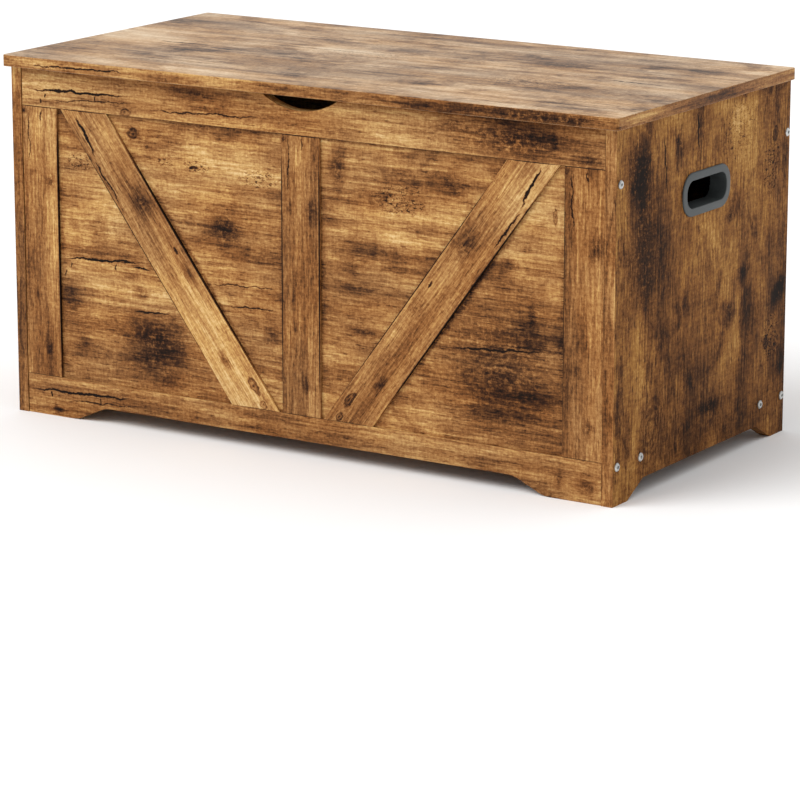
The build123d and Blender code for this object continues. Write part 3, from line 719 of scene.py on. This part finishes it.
FRONT_MARKS = printed(
    knot=((-256, 382, 10, 9, 0.62), (-234, 367, 3, 3, 0.5), (360, 341, 4, 13, 0.5)),
    flecks=((-205, 351, 17, 13, 0.5), (-157, 349, 26, 10, 0.8), (-62, 344, 38, 15, 0.75),
        (-340, 337, 27, 15, 0.7), (143, 337, 46, 25, 0.7)),
    crack=((-160, 347, 9, 2.2, 0.6, 8), (-306, 214, 70, 1.9, 0.75, 3),
        (-246, 210, 17, 1.5, 0.6, -6), (-358, 202, 5, 1.3, 0.6, 90), (-286, 207, 5, 1.3, 0.6, 90),
        (-365, 190, 5, 1.3, 0.6, 90), (-228, 155, 35, 1.5, 0.6, 5), (-90, 205, 57, 1.4, 0.42, 2),
        (-77, 178, 44, 1.4, 0.42, 2), (280, 170, 74, 1.7, 0.5, 4)),
    stain=((-338, 336, 20, 12, 0.18, 10), (-116, 275, 40, 40, 0.42, 20),
        (-246, 179, 19, 15, 0.45), (-224, 128, 72, 40, 0.3), (-357, 162, 20, 32, 0.34),
        (-230, 95, 90, 26, 0.16), (-47, 149, 20, 30, 0.3), (-90, 130, 70, 70, 0.14),
        (-353, 257, 15, 20, 0.25), (53, 368, 17, 48, 0.42), (121, 338, 15, 10, 0.35),
        (215, 362, 46, 32, 0.3), (90, 169, 44, 7, 0.34, -3), (84, 223, 38, 13, 0.16),
        (300, 176, 86, 9, 0.24, 4), (329, 214, 9, 30, 0.3), (297, 277, 15, 10, 0.32),
        # The long thin stains from (-370, 228) to (238, 228) are painted shade beside the uprights,
        # under the top rail, above the bottom rail and along the braces' right edges.
        (290, 150, 200, 170, 0.34), (-230, 110, 190, 90, 0.24), (-370, 228, 160, 8, 0.2, 90),
        (-30, 228, 160, 7, 0.16, 90), (30, 228, 160, 9, 0.22, 90), (370, 228, 160, 7, 0.16, 90),
        (0, 402, 400, 5, 0.2), (0, 55, 400, 5, 0.14), (-162, 228, 219, 6, 0.34, -53.3),
        (238, 228, 219, 6, 0.34, 53.3), (-100, 262, 84, 76, 0.12)),
    glow=((-303, 275, 60, 38, -0.16), (-160, 360, 120, 30, -0.15), (130, 300, 80, 46, -0.15, -20),
        (187, 88, 52, 24, -0.12)),
    rings=((286, 129, 84, 38, 0.15),),
    # Painted shadow in the gaps between the outer uprights and the side boards.
    seam=((-432, 228, 260, 3.5, 0.45, 90), (432, 228, 260, 3.5, 0.5, 90)),
)

RAIL_MARKS = printed(
    crack=((-342, 427, 90, 2.0, 0.75, 1), (-318, 417, 74, 1.3, 0.4, 3),
        (-391, 419, 4, 1.4, 0.6, 90), (-398, 411, 4, 1.4, 0.6, 90), (-313, 422, 4, 1.4, 0.6, 90),
        (-144, 417, 92, 1.3, 0.45, 2)),
    knot=((-265, 407, 11, 6, 0.5),),
    stain=((-150, 441, 70, 12, 0.3), (-140, 424, 50, 8, 0.22), (68, 413, 80, 12, 0.2),
        (218, 438, 40, 10, 0.26), (359, 431, 8, 20, 0.36), (410, 412, 36, 12, 0.5),
        (300, 427, 170, 40, 0.48)),
    glow=((303, 417, 50, 9, -0.12), (-380, 432, 80, 20, -0.14)),
    # Painted shadow lines at the rail's ends against the side boards and under its lower edge.
    seam=((-428.5, 427, 40, 1.2, 0.7, 90), (428.5, 427, 40, 1.2, 0.7, 90),
        (0, 403.5, 600, 0.9, 0.4)),
)

LOW_RAIL_MARKS = printed(
    crack=((-342, 35, 88, 2.0, 0.75, 2), (-310, 26, 60, 1.3, 0.4, 3), (-391, 27, 4, 1.4, 0.6, 90),
        (-313, 30, 4, 1.4, 0.6, 90)),
    stain=((-381, 9, 14, 7, 0.5), (-200, 14, 60, 8, 0.2), (60, 34, 60, 9, 0.2),
        (371, 24, 9, 22, 0.32), (410, 20, 26, 16, 0.42), (330, 20, 130, 40, 0.14)),
    glow=((-330, 46, 90, 5, -0.15), (260, 44, 90, 5, -0.12)),
    # Painted shadow lines at the rail's ends against the side boards.
    seam=((-428.5, 26, 40, 1.2, 0.7, 90), (428.5, 26, 40, 1.2, 0.7, 90)),
)

SIDE_MARKS = printed(
    stain=((-160, 396, 60, 74, 0.4), (-150, 250, 46, 130, 0.2), (-68, 419, 10, 13, 0.4),
        (72, 304, 17, 15, 0.4), (104, 229, 22, 20, 0.32), (202, 186, 44, 22, 0.6, 50),
        (-125, 259, 40, 66, 0.22), (-83, 156, 12, 70, 0.26, 8), (70, 187, 28, 34, 0.4, 20),
        (25, 74, 48, 16, 0.36), (30, 130, 60, 24, 0.2, 30), (-150, 330, 86, 150, 0.36),
        (0, 60, 240, 60, 0.14), (-60, 410, 24, 24, 0.3)),
    crack=((-96, 394, 38, 2.0, 0.7, 96), (-17, 420, 27, 2.0, 0.7, 99)),
    knot=((185, 390, 8, 11, 0.5), (171, 125, 9, 9, 0.6)),
    flecks=((178, 350, 28, 46, 0.7), (184, 129, 30, 36, 0.7), (90, 410, 60, 50, 0.4)),
    rings=((-125, 74, 66, 40, 0.24, 70),),
    glow=((91, 424, 70, 34, -0.16), (104, 144, 40, 44, -0.14), (10, 292, 56, 80, -0.1),
        (130, 380, 110, 90, -0.12)),
)

FAR_SIDE_MARKS = printed(
    stain=((160, 380, 50, 74, 0.34), (-130, 300, 34, 50, 0.4, 10), (20, 60, 70, 18, 0.36),
        (170, 200, 26, 60, 0.36), (70, 262, 22, 18, 0.4)),
    crack=((60, 400, 44, 2.0, 0.7, 92), (-40, 150, 60, 1.8, 0.6, 88)),
    knot=((-120, 400, 10, 12, 0.6),),
    flecks=((-60, 240, 44, 50, 0.7),),
    rings=((100, 140, 40, 74, 0.24),),
    glow=((0, 360, 70, 50, -0.14), (-120, 120, 60, 70, -0.14)),
)

BACK_MARKS = printed(
    knot=((-210, 330, 14, 12, 0.6), (180, 120, 12, 10, 0.6)),
    crack=((120, 380, 100, 2.0, 0.7, -2), (-260, 160, 120, 1.8, 0.65, 2)),
    stain=((-330, 240, 60, 60, 0.36), (60, 230, 70, 36, 0.34), (330, 330, 60, 50, 0.36),
        (-120, 90, 120, 26, 0.3)),
    flecks=((-60, 340, 90, 34, 0.7), (320, 120, 60, 40, 0.7)),
    rings=((260, 230, 96, 44, 0.26),),
    glow=((-120, 400, 120, 34, -0.14), (120, 150, 90, 40, -0.12)),
)

BOTTOM_MARKS = printed(
    knot=((-180, 60, 12, 10, 0.6),),
    crack=((90, -60, 110, 1.8, 0.65, 1),),
    stain=((250, 90, 70, 40, 0.34), (-60, -150, 90, 24, 0.3)),
    flecks=((-300, -100, 60, 40, 0.7),),
    rings=((20, 100, 90, 40, 0.24),),
)

LID_MARKS = printed(
    stain=((-273, -160, 60, 22, 0.3, 6), (-270, -66, 60, 34, 0.28, 10), (-141, 97, 60, 30, 0.26),
        (-45, -168, 44, 26, 0.4), (196, 77, 60, 40, 0.3), (339, -168, 60, 26, 0.34),
        (121, -135, 70, 36, 0.22), (374, 117, 50, 70, 0.3)),
    crack=((-310, -20, 52, 2.6, 0.65, 2), (-214, -34, 34, 2.2, 0.6, 8),
        (340, 10, 50, 2.4, 0.6, -3), (60, -90, 90, 1.6, 0.35, 1), (-120, 190, 120, 1.6, 0.35)),
    rings=((76, 39, 54, 26, 0.2),),
    glow=((-263, 102, 110, 50, -0.12), (60, 150, 130, 40, -0.1)),
    flecks=((230, -60, 90, 40, 0.5), (-60, 20, 90, 40, 0.4)),
)

LID_RIM_MARKS = printed(
    crack=((-560, 459, 90, 1.4, 0.6, 1),),
    glow=((-600, 461, 90, 9, -0.22), (300, 462, 60, 6, -0.12), (-640, 461, 60, 16, -0.12)),
    stain=((-420, 459, 60, 9, 0.26), (-250, 461, 90, 7, 0.2), (-60, 459, 90, 8, 0.28),
        (160, 460, 80, 9, 0.3), (480, 459, 70, 9, 0.24), (110, 460, 200, 30, 0.42)),
)


def stile_marks(centre: float) -> tuple[Mark, ...]:
    """Lays the upright strips' print and painted shadow lines on a strip.

    Args:
        centre: the strip's middle in millimetres.

    Returns:
        The marks, in place on that strip.
    """
    return printed(
        crack=((centre - 17, 362, 40, 1.2, 0.42, 90), (centre + 3, 393, 9, 1.2, 0.4, 86)),
        stain=((centre - 24, 397, 6, 6, 0.5), (centre + 16, 309, 17, 27, 0.4, -12),
            (centre - 14, 314, 8, 18, 0.24), (centre - 8, 205, 12, 40, 0.14),
            (centre - 9, 161, 8, 12, 0.24), (centre + 8, 91, 10, 20, 0.36, 10)),
        glow=((centre, 378, 26, 34, -0.17), (centre + 14, 140, 14, 30, -0.1)),
        # Painted shadow lines along the upright's edges and where it meets the rails.
        seam=((centre - 27.5, 228, 190, 1.1, 0.6, 90), (centre + 27.5, 228, 190, 1.1, 0.6, 90),
            (centre, 403.5, 40, 1.0, 0.5), (centre, 52.0, 40, 1.0, 0.5)),
    )


def brace_marks(side: float) -> tuple[Mark, ...]:
    """Lays the slanted strips' print and painted shadow lines on a brace.

    Args:
        side: -1 for the left brace and 1 for the right one.

    Returns:
        The marks, in place on that brace.
    """
    slope = side * 53.3
    return printed(
        crack=((side * 327, 372, 32, 2.4, 0.75, side * 60),
            (side * 296, 318, 36, 1.7, 0.6, side * 52), (side * 188, 240, 7, 2.4, 0.5, slope)),
        stain=((side * 322, 344, 7, 5, 0.5, slope), (side * 240, 296, 38, 24, 0.46, slope),
            (side * 171, 213, 28, 15, 0.3, slope), (side * 117, 109, 20, 9, 0.45, slope)),
        glow=((side * 300, 366, 46, 24, -0.18, slope), (side * 140, 170, 50, 14, -0.12, slope)),
        knot=((side * 72, 81, 15, 6, 0.7, slope), (side * 58, 58, 8, 5, 0.6, slope)),
        # Painted shadow lines along the brace's edges and where it meets the rails.
        seam=((side * 200 - 35.5, 227.75, 219, 1.3, 0.6, slope),
            (side * 200 + 35.5, 227.75, 219, 1.3, 0.6, slope), (side * 331, 403.5, 40, 1.0, 0.5),
            (side * 69, 52.0, 40, 1.0, 0.5)),
    )


# --------------------------------------------------------------------------------------------
# Boards
# --------------------------------------------------------------------------------------------
@dataclass
class Board:
    """One laminated chipboard board with its decor and, where it shows, its own edge band."""

    node: str
    slot: str
    decor: Laminate
    body: str = "carcass"
    edge: float = 0.6 * MM
    band: Laminate | None = None
    band_faces: Vector | None = None      # None bands every edge that stands upright

    def build(self) -> bpy.types.Object:
        """Builds the board and dresses it.

        Returns:
            The finished piece.
        """
        piece = softened(self.node, self.edge, name=f"{self.node}_board")
        paint(piece, *(look.build() for look in (self.decor, self.band) if look is not None))
        if self.band is not None:
            for face in piece.data.polygons:
                face.material_index = int(self.is_banded(face.normal))
        place(piece, self.body, [self.node], self.slot)
        return piece

    def is_banded(self, normal: Vector) -> bool:
        """Tells whether a face with this normal lies on the edge band."""
        if self.band_faces is None:
            return abs(normal.z) < 0.5
        return normal.dot(self.band_faces) > 0.8


@dataclass
class Chest:
    """The sides, the back and the floor of the box."""

    def build(self) -> list[bpy.types.Object]:
        """Builds the side, back and bottom boards."""
        boards = [
            # The back and the sides take the darker palette, which paints shade onto them.
            Board("back_panel", "board_laminate",
                  Laminate("back", Plane.FRONT, seed=31.0, base=0.52, palette=SHADED_OAK,
                           marks=BACK_MARKS)),
            Board("bottom_panel", "board_laminate",
                  Laminate("bottom", Plane.TOP, seed=47.0, base=0.52, marks=BOTTOM_MARKS)),
        ]
        # The sides' low base tone and darker palette are painted shade.
        for name, seed, marks in (("left", 13.0, FAR_SIDE_MARKS), ("right", 22.0, SIDE_MARKS)):
            band = Laminate(f"side_edge_{name}", Plane.FRONT, GRAIN_UPRIGHT, seed + 3, base=0.58,
                            mottle=0.24)
            boards.append(Board(
                f"side_panel_{name}", "board_laminate",
                Laminate(f"side_{name}", Plane.SIDE, GRAIN_UPRIGHT, seed, 0.48, SHADED_OAK,
                         mottle=0.40, marks=marks, patch=0.24, sheen=0.03, bands=0.14),
                band=band, band_faces=Vector((0, -1, 0))))
        return [board.build() for board in boards]


@dataclass
class FrontWall:
    """The front board with the farmhouse strips glued on it."""

    stile_centre: float = 401.0      # mm, the outer uprights' middle from the box's middle
    strip_patch: float = 0.06        # how dark the smoky patches of the strips' print are
    brace_foot: float = 72 * MM      # how long a brace's cut end is along the rail

    def build(self) -> list[bpy.types.Object]:
        """Builds the front board, two rails, three uprights and two braces."""
        boards = [
            Board("front_panel", "front_laminate",
                  Laminate("front", Plane.FRONT, seed=5.0, mottle=0.34, marks=FRONT_MARKS)),
            Board("front_top_rail", "front_laminate",
                  Laminate("top_rail", Plane.FRONT, seed=8.5, base=0.62, mottle=0.16,
                           marks=RAIL_MARKS, patch=0.1)),
            Board("front_bottom_rail", "front_laminate",
                  Laminate("bottom_rail", Plane.FRONT, seed=64.5, mottle=0.16, marks=LOW_RAIL_MARKS,
                           patch=0.1)),
        ]
        for name, centre in (("left", -1.0), ("center", 0.0), ("right", 1.0)):
            boards.append(Board(
                f"front_stile_{name}", "strip_laminate",
                Laminate(f"stile_{name}", Plane.FRONT, GRAIN_UPRIGHT, seed=70.0 + 4 * centre,
                         base=0.52 - 0.02 * centre, mottle=0.16, patch=self.strip_patch,
                         marks=stile_marks(centre * self.stile_centre))))
        for name, side in zip(SIDES, (-1.0, 1.0)):
            low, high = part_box(f"front_brace_{name}")
            run = high.x - low.x - self.brace_foot
            slope = side * math.degrees(math.atan2(high.z - low.z, run))
            boards.append(Board(
                f"front_brace_{name}", "strip_laminate",
                Laminate(f"brace_{name}", Plane.FRONT, slope, seed=82.0 + 3 * side, mottle=0.12,
                         marks=brace_marks(side), patch=self.strip_patch)))
        return [board.build() for board in boards]


@dataclass
class LidBoard:
    """The lift-up lid with its banded rim."""

    edge: float = 0.3 * MM

    def build(self) -> bpy.types.Object:
        """Builds the lid."""
        rim = Laminate("lid_edge", Plane.RIM, seed=54.0, base=0.57, mottle=0.16,
                       marks=LID_RIM_MARKS)
        # Its pale grey palette is partly painted sheen.
        top = Laminate("lid", Plane.TOP, seed=41.0, base=0.61, palette=PALE_OAK_AND_SHEEN, mottle=0.34,
                       marks=LID_MARKS, patch=0.24, sheen=0.20)
        return Board("lid", "lid_laminate", top, "lid", self.edge, rim).build()


# --------------------------------------------------------------------------------------------
# Plastic, steel and the repeated fasteners
# --------------------------------------------------------------------------------------------
@dataclass
class Hardware:
    """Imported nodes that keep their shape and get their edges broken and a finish."""

    finish: bpy.types.Material
    slot: str
    edge: float = 0.2 * MM

    def build(self, body: str, *nodes: str) -> None:
        """Dresses nodes of one body.

        Args:
            body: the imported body.
            *nodes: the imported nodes.
        """
        for node in nodes:
            piece = softened(node, self.edge)
            paint(piece, self.finish)
            place(piece, body, [node], self.slot)


class Recess(Enum):
    """The drive in a screw's head: number of straight slots that cross, or a hexagon."""

    HEXAGON = 0
    CROSS = 2


@dataclass
class Fasteners:
    """Screw or bolt heads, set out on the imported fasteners' own places by Geometry Nodes."""

    name: str
    head: float                      # head radius, m
    height: float                    # how far the head is drawn, m
    finish: bpy.types.Material
    recess: Recess = Recess.CROSS
    drive: float = 0.9 * MM          # width of the hexagon or of a slot's arm
    depth: float = 0.8 * MM          # of the drive
    sides: int = 36
    seed: int = 7
    crown: float = 0.78              # top radius of the head, of its full radius
    slot_span: float = 1.15          # a slot's length, of the head's radius
    hex_corner: float = 0.5774       # a hexagon's corner radius, of its width across flats

    def tree(self) -> bpy.types.NodeTree:
        """Builds the node tree that puts a head on every point.

        Returns:
            The tree, with named inputs for its sizes.
        """
        tree = bpy.data.node_groups.new(f"{self.name}_heads", "GeometryNodeTree")
        kinds = {"Geometry": "Geometry", "Head Radius": "Float", "Head Height": "Float",
                 "Drive Width": "Float", "Drive Depth": "Float", "Facing": "Vector", "Seed": "Int",
                 "Material": "Material"}
        for label, kind in kinds.items():
            tree.interface.new_socket(label, in_out="INPUT", socket_type=f"NodeSocket{kind}")
        tree.interface.new_socket("Geometry", in_out="OUTPUT", socket_type="NodeSocketGeometry")
        given = tree.nodes.new("NodeGroupInput").outputs
        solid = self.head_with_drive(tree, given)
        turn = add_node(tree, "FunctionNodeRandomValue", {
            "Min": (0.0, 0.0, 0.0), "Max": (0.0, 0.0, math.tau), "Seed": given["Seed"]}, out=0,
            data_type="FLOAT_VECTOR")
        set_out = add_node(tree, "GeometryNodeInstanceOnPoints", {
            "Points": given["Geometry"], "Instance": solid, "Rotation": given["Facing"]})
        turned = add_node(tree, "GeometryNodeRotateInstances", {
            "Instances": set_out, "Rotation": turn, "Local Space": True})
        real = add_node(tree, "GeometryNodeRealizeInstances", {"Geometry": turned})
        dressed = add_node(tree, "GeometryNodeSetMaterial", {
            "Geometry": real, "Material": given["Material"]})
        add_node(tree, "NodeGroupOutput", {0: dressed})
        return tree

    def head_with_drive(self, tree: bpy.types.NodeTree, given: bpy.types.NodeOutputs) -> Socket:
        """Builds one head, its top at the origin and facing +Z, with the drive cut in.

        Args:
            tree: the node tree.
            given: the tree's inputs.

        Returns:
            The head's mesh.
        """
        radius, height = given["Head Radius"], given["Head Height"]
        half = calc(tree, "MULTIPLY", height, 0.5)
        crown = calc(tree, "MULTIPLY", radius, self.crown)
        low = add_node(tree, "ShaderNodeCombineXYZ", {2: calc(tree, "MULTIPLY", height, -0.75)})
        seat = add_node(tree, "ShaderNodeCombineXYZ", {2: calc(tree, "MULTIPLY", half, -1.0)})
        disc = add_node(tree, "GeometryNodeMeshCylinder", {
            "Vertices": self.sides, "Radius": radius, "Depth": half})
        rim = add_node(tree, "GeometryNodeTransform", {"Geometry": disc, "Translation": low})
        cone = add_node(tree, "GeometryNodeMeshCone", {
            "Vertices": self.sides, "Radius Top": crown, "Radius Bottom": radius, "Depth": half})
        top = add_node(tree, "GeometryNodeTransform", {"Geometry": cone, "Translation": seat})
        body = add_node(tree, "GeometryNodeMeshBoolean", {"Mesh 2": rim}, operation="UNION",
                        solver="EXACT")
        tree.links.new(top, body.node.inputs["Mesh 2"])
        width, deep = given["Drive Width"], calc(tree, "MULTIPLY", given["Drive Depth"], 2.0)
        if self.recess is Recess.HEXAGON:
            corner = calc(tree, "MULTIPLY", width, self.hex_corner)
            cutters = [add_node(tree, "GeometryNodeMeshCylinder", {
                "Vertices": 6, "Radius": corner, "Depth": deep})]
        else:
            span = calc(tree, "MULTIPLY", radius, self.slot_span)
            sizes = [add_node(tree, "ShaderNodeCombineXYZ", {0: first, 1: second, 2: deep})
                     for first, second in ((span, width), (width, span))]
            cutters = [add_node(tree, "GeometryNodeMeshCube", {"Size": size}) for size in sizes]
        for cutter in cutters:
            body = add_node(tree, "GeometryNodeMeshBoolean", {"Mesh 1": body, "Mesh 2": cutter},
                            operation="DIFFERENCE", solver="EXACT")
        return body

    def build(self, body: str, slot: str, nodes: Sequence[str], facing: Vector) -> None:
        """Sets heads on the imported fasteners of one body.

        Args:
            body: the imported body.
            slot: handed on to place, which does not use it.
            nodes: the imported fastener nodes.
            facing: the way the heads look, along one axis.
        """
        points = []
        axis = max(range(3), key=lambda i: abs(facing[i]))
        for low, high in (box for node in nodes for box in islands(node)):
            spot = (low + high) / 2
            spot[axis] = high[axis] if facing[axis] > 0 else low[axis]
            points.append(spot)
        mesh = bpy.data.meshes.new(f"{self.name}_heads")
        mesh.from_pydata([tuple(p) for p in points], [], [])
        piece = link_mesh(mesh.name, mesh)
        heads = piece.modifiers.new("heads", "NODES")
        heads.node_group = self.tree()
        values = {"Head Radius": self.head, "Head Height": self.height, "Drive Width": self.drive,
                  "Drive Depth": self.depth, "Seed": self.seed, "Material": self.finish,
                  "Facing": tuple(Vector((0, 0, 1)).rotation_difference(facing).to_euler())}
        for item in heads.node_group.interface.items_tree:
            if item.in_out == "INPUT" and item.name in values:
                heads[item.identifier] = values[item.name]
        finished(piece)
        place(piece, body, nodes, slot)


@dataclass
class PanelFasteners:
    """The bolts through the sides and the small cross-head screws of hinges and brackets."""

    zinc: bpy.types.Material
    nickel: bpy.types.Material
    bolt_head: float = 5.3 * MM
    screw_head: float = 3.6 * MM
    small_head: float = 3.5 * MM

    def build(self) -> None:
        """Sets out every group of heads."""
        for name, way in zip(SIDES, (-1, 1)):
            bolt = Fasteners(f"panel_bolt_{name}", self.bolt_head, 2.2 * MM, self.zinc,
                             Recess.HEXAGON, drive=4.0 * MM, depth=1.6 * MM)
            bolt.build("carcass", "zinc_plated_steel", [f"panel_bolts_{name}"], Vector((way, 0, 0)))
        cup = Fasteners("hinge_cup_screw", self.screw_head, 1.4 * MM, self.nickel, seed=3)
        cup.build("lid", "nickel_plated_steel", ["hinge_cup_screws"], Vector((0, 0, -1)))
        plate = Fasteners("hinge_plate_screw", self.screw_head, 1.6 * MM, self.nickel, seed=5)
        plate.build("carcass", "nickel_plated_steel", ["hinge_plate_screws"], Vector((0, -1, 0)))
        bracket = Fasteners("lid_bracket_screw", self.small_head, 1.4 * MM, self.zinc, seed=9)
        bracket.build("lid", "zinc_plated_steel", ["lid_bracket_screws"], Vector((0, 0, -1)))
        Hardware(self.zinc, "zinc_plated_steel").build("carcass", "side_bracket_screws")


@dataclass
class Grips:
    """The moulded hand grips in the sides."""

    finish: bpy.types.Material

    def build(self) -> None:
        """Dresses the outer inserts and the inner rings."""
        for name in SIDES:
            for node in (f"grip_insert_{name}", f"grip_inner_ring_{name}"):
                Hardware(self.finish, "grip_plastic", 0.6 * MM).build("carcass", node)


@dataclass
class ConcealedHinges:
    """Two concealed cup hinges and their screws."""

    nickel: bpy.types.Material
    edge: float = 0.25 * MM

    def build(self) -> None:
        """Dresses the cups, arms, links and plates."""
        metal = Hardware(self.nickel, "nickel_plated_steel", self.edge)
        for name in SIDES:
            metal.build("lid", f"hinge_cup_{name}")
            metal.build("carcass", f"hinge_arm_{name}", f"hinge_plate_{name}")
            metal.build(f"hinge_link_{name}", f"hinge_link_{name}")
        metal.build("lid", "hinge_cup_pins")
        metal.build("carcass", "hinge_arm_pins", "hinge_adjust_screws")


@dataclass
class GasStruts:
    """The two lid stays: painted tubes, chrome rods, ball ends and brackets."""

    tube: bpy.types.Material
    rod: bpy.types.Material
    ends: bpy.types.Material
    bracket: bpy.types.Material

    def build(self) -> None:
        """Dresses the stays and their brackets."""
        for name in SIDES:
            tube, rod = f"strut_tube_{name}", f"strut_rod_{name}"
            ends = Hardware(self.ends, "black_nylon")
            bracket = Hardware(self.bracket, "bracket_steel")
            Hardware(self.tube, "black_painted_tube").build(tube, tube)
            ends.build(tube, f"strut_base_end_{name}")
            Hardware(self.rod, "chrome_rod").build(rod, rod)
            ends.build(rod, f"strut_rod_end_{name}")
            bracket.build("carcass", f"side_bracket_{name}")
            bracket.build("lid", f"lid_bracket_{name}")


# --------------------------------------------------------------------------------------------
# Studio
# --------------------------------------------------------------------------------------------
@dataclass
class Studio:
    """Pale floor, soft lights and the camera."""

    camera_spot: tuple[float, float, float] = (2.5676, -3.9933, 1.2025)
    turn: float = 32.66          # degrees round the box from its front
    tilt: float = 13.90          # degrees down
    lens: float = 170.9          # mm on the default sensor
    floor_half: float = 30.0

    def build(self) -> None:
        """Builds the floor, the lights and the camera."""
        self.floor()
        self.lights()
        self.camera()

    def floor(self) -> None:
        """Lays a plain pale floor."""
        mesh = bpy.data.meshes.new("studio_floor")
        h = self.floor_half
        mesh.from_pydata([(-h, -h, 0), (h, -h, 0), (h, h, 0), (-h, h, 0)], [], [(0, 1, 2, 3)])
        floor = link_mesh("studio_floor", mesh)
        material, _, _ = new_material("studio_floor_paint", {
            "Base Color": srgb("fafafa"), "Roughness": 0.9, "Specular IOR Level": 0.1})
        mesh.materials.append(material)

    def lights(self) -> None:
        """Hangs a white surround and two soft suns."""
        world = bpy.data.worlds.new("studio")
        world.use_nodes = True
        back = world.node_tree.nodes["Background"].inputs
        back["Color"].default_value = srgb("ffffff")
        back["Strength"].default_value = 0.62
        bpy.context.scene.world = world
        self.sun("key", (-0.55, -0.80, 1.0), strength=1.75, spread=38.0)
        self.sun("top", (0.10, 0.25, 1.0), strength=0.65, spread=70.0)

    def sun(self, name: str, toward: tuple[float, float, float], strength: float,
            spread: float) -> None:
        """Hangs one far, very soft light, so that box and floor are lit alike everywhere.

        Args:
            name: the light's name.
            toward: the way from the box to the light.
            strength: in watts per square metre.
            spread: its width as an angle in degrees, which softens the shadows.
        """
        data = bpy.data.lights.new(name, "SUN")
        data.energy = strength
        data.angle = math.radians(spread)
        light = bpy.data.objects.new(name, data)
        light.rotation_euler = (-Vector(toward)).to_track_quat("-Z", "Y").to_euler()
        light.location = Vector(toward) * 4
        bpy.context.scene.collection.objects.link(light)

    def camera(self) -> None:
        """Sets the camera at the usual three-quarter view from the right."""
        data = bpy.data.cameras.new("camera")
        data.lens = self.lens
        data.clip_start, data.clip_end = 0.05, 100.0
        made = bpy.data.objects.new("camera", data)
        made.location = self.camera_spot
        made.rotation_euler = (math.radians(90 - self.tilt), 0.0, math.radians(self.turn))
        bpy.context.scene.collection.objects.link(made)
        bpy.context.scene.camera = made
        bpy.context.scene.view_settings.view_transform = "Standard"


def main() -> None:
    """Builds the toy box, its hardware and the studio."""
    logging.basicConfig(level=logging.INFO, format="%(message)s")
    zinc = PlatedSteel("zinc_plated_steel", "8f9090", "d9d9d6", roughness=0.32).build()
    nickel = PlatedSteel("nickel_plated_steel", "4a4845", "8d8a86").build()
    bracket = PlatedSteel("black_powder_coated_steel", "141414", "2b2b2b", metallic=0.0,
                          roughness=0.42).build()
    tube = PlatedSteel("black_painted_steel_tube", "0c0c0d", "1d1d1f", metallic=0.0,
                       roughness=0.24).build()
    chrome = PlatedSteel("hard_chrome", "b9bcc0", "e6e8ea", roughness=0.12).build()
    abs_plastic = MouldedPlastic("abs_grip", "2b2e2e", "454a4a", roughness=0.46).build()
    nylon = MouldedPlastic("black_nylon", "101010", "242424", roughness=0.45).build()

    Chest().build()
    FrontWall().build()
    LidBoard().build()
    Grips(abs_plastic).build()
    ConcealedHinges(nickel).build()
    GasStruts(tube, chrome, nylon, bracket).build()
    Hardware(RawBeech().build(), "beech").build("carcass", "dowels_left", "dowels_right")
    Hardware(zinc, "zinc_plated_steel").build("carcass", "barrel_nuts_left", "barrel_nuts_right")
    Hardware(SoftPad().build(), "felt", 0.4 * MM).build("carcass", "lid_bumpers")

    PanelFasteners(zinc, nickel).build()
    Studio().build()


if __name__ == "__main__":
    main()
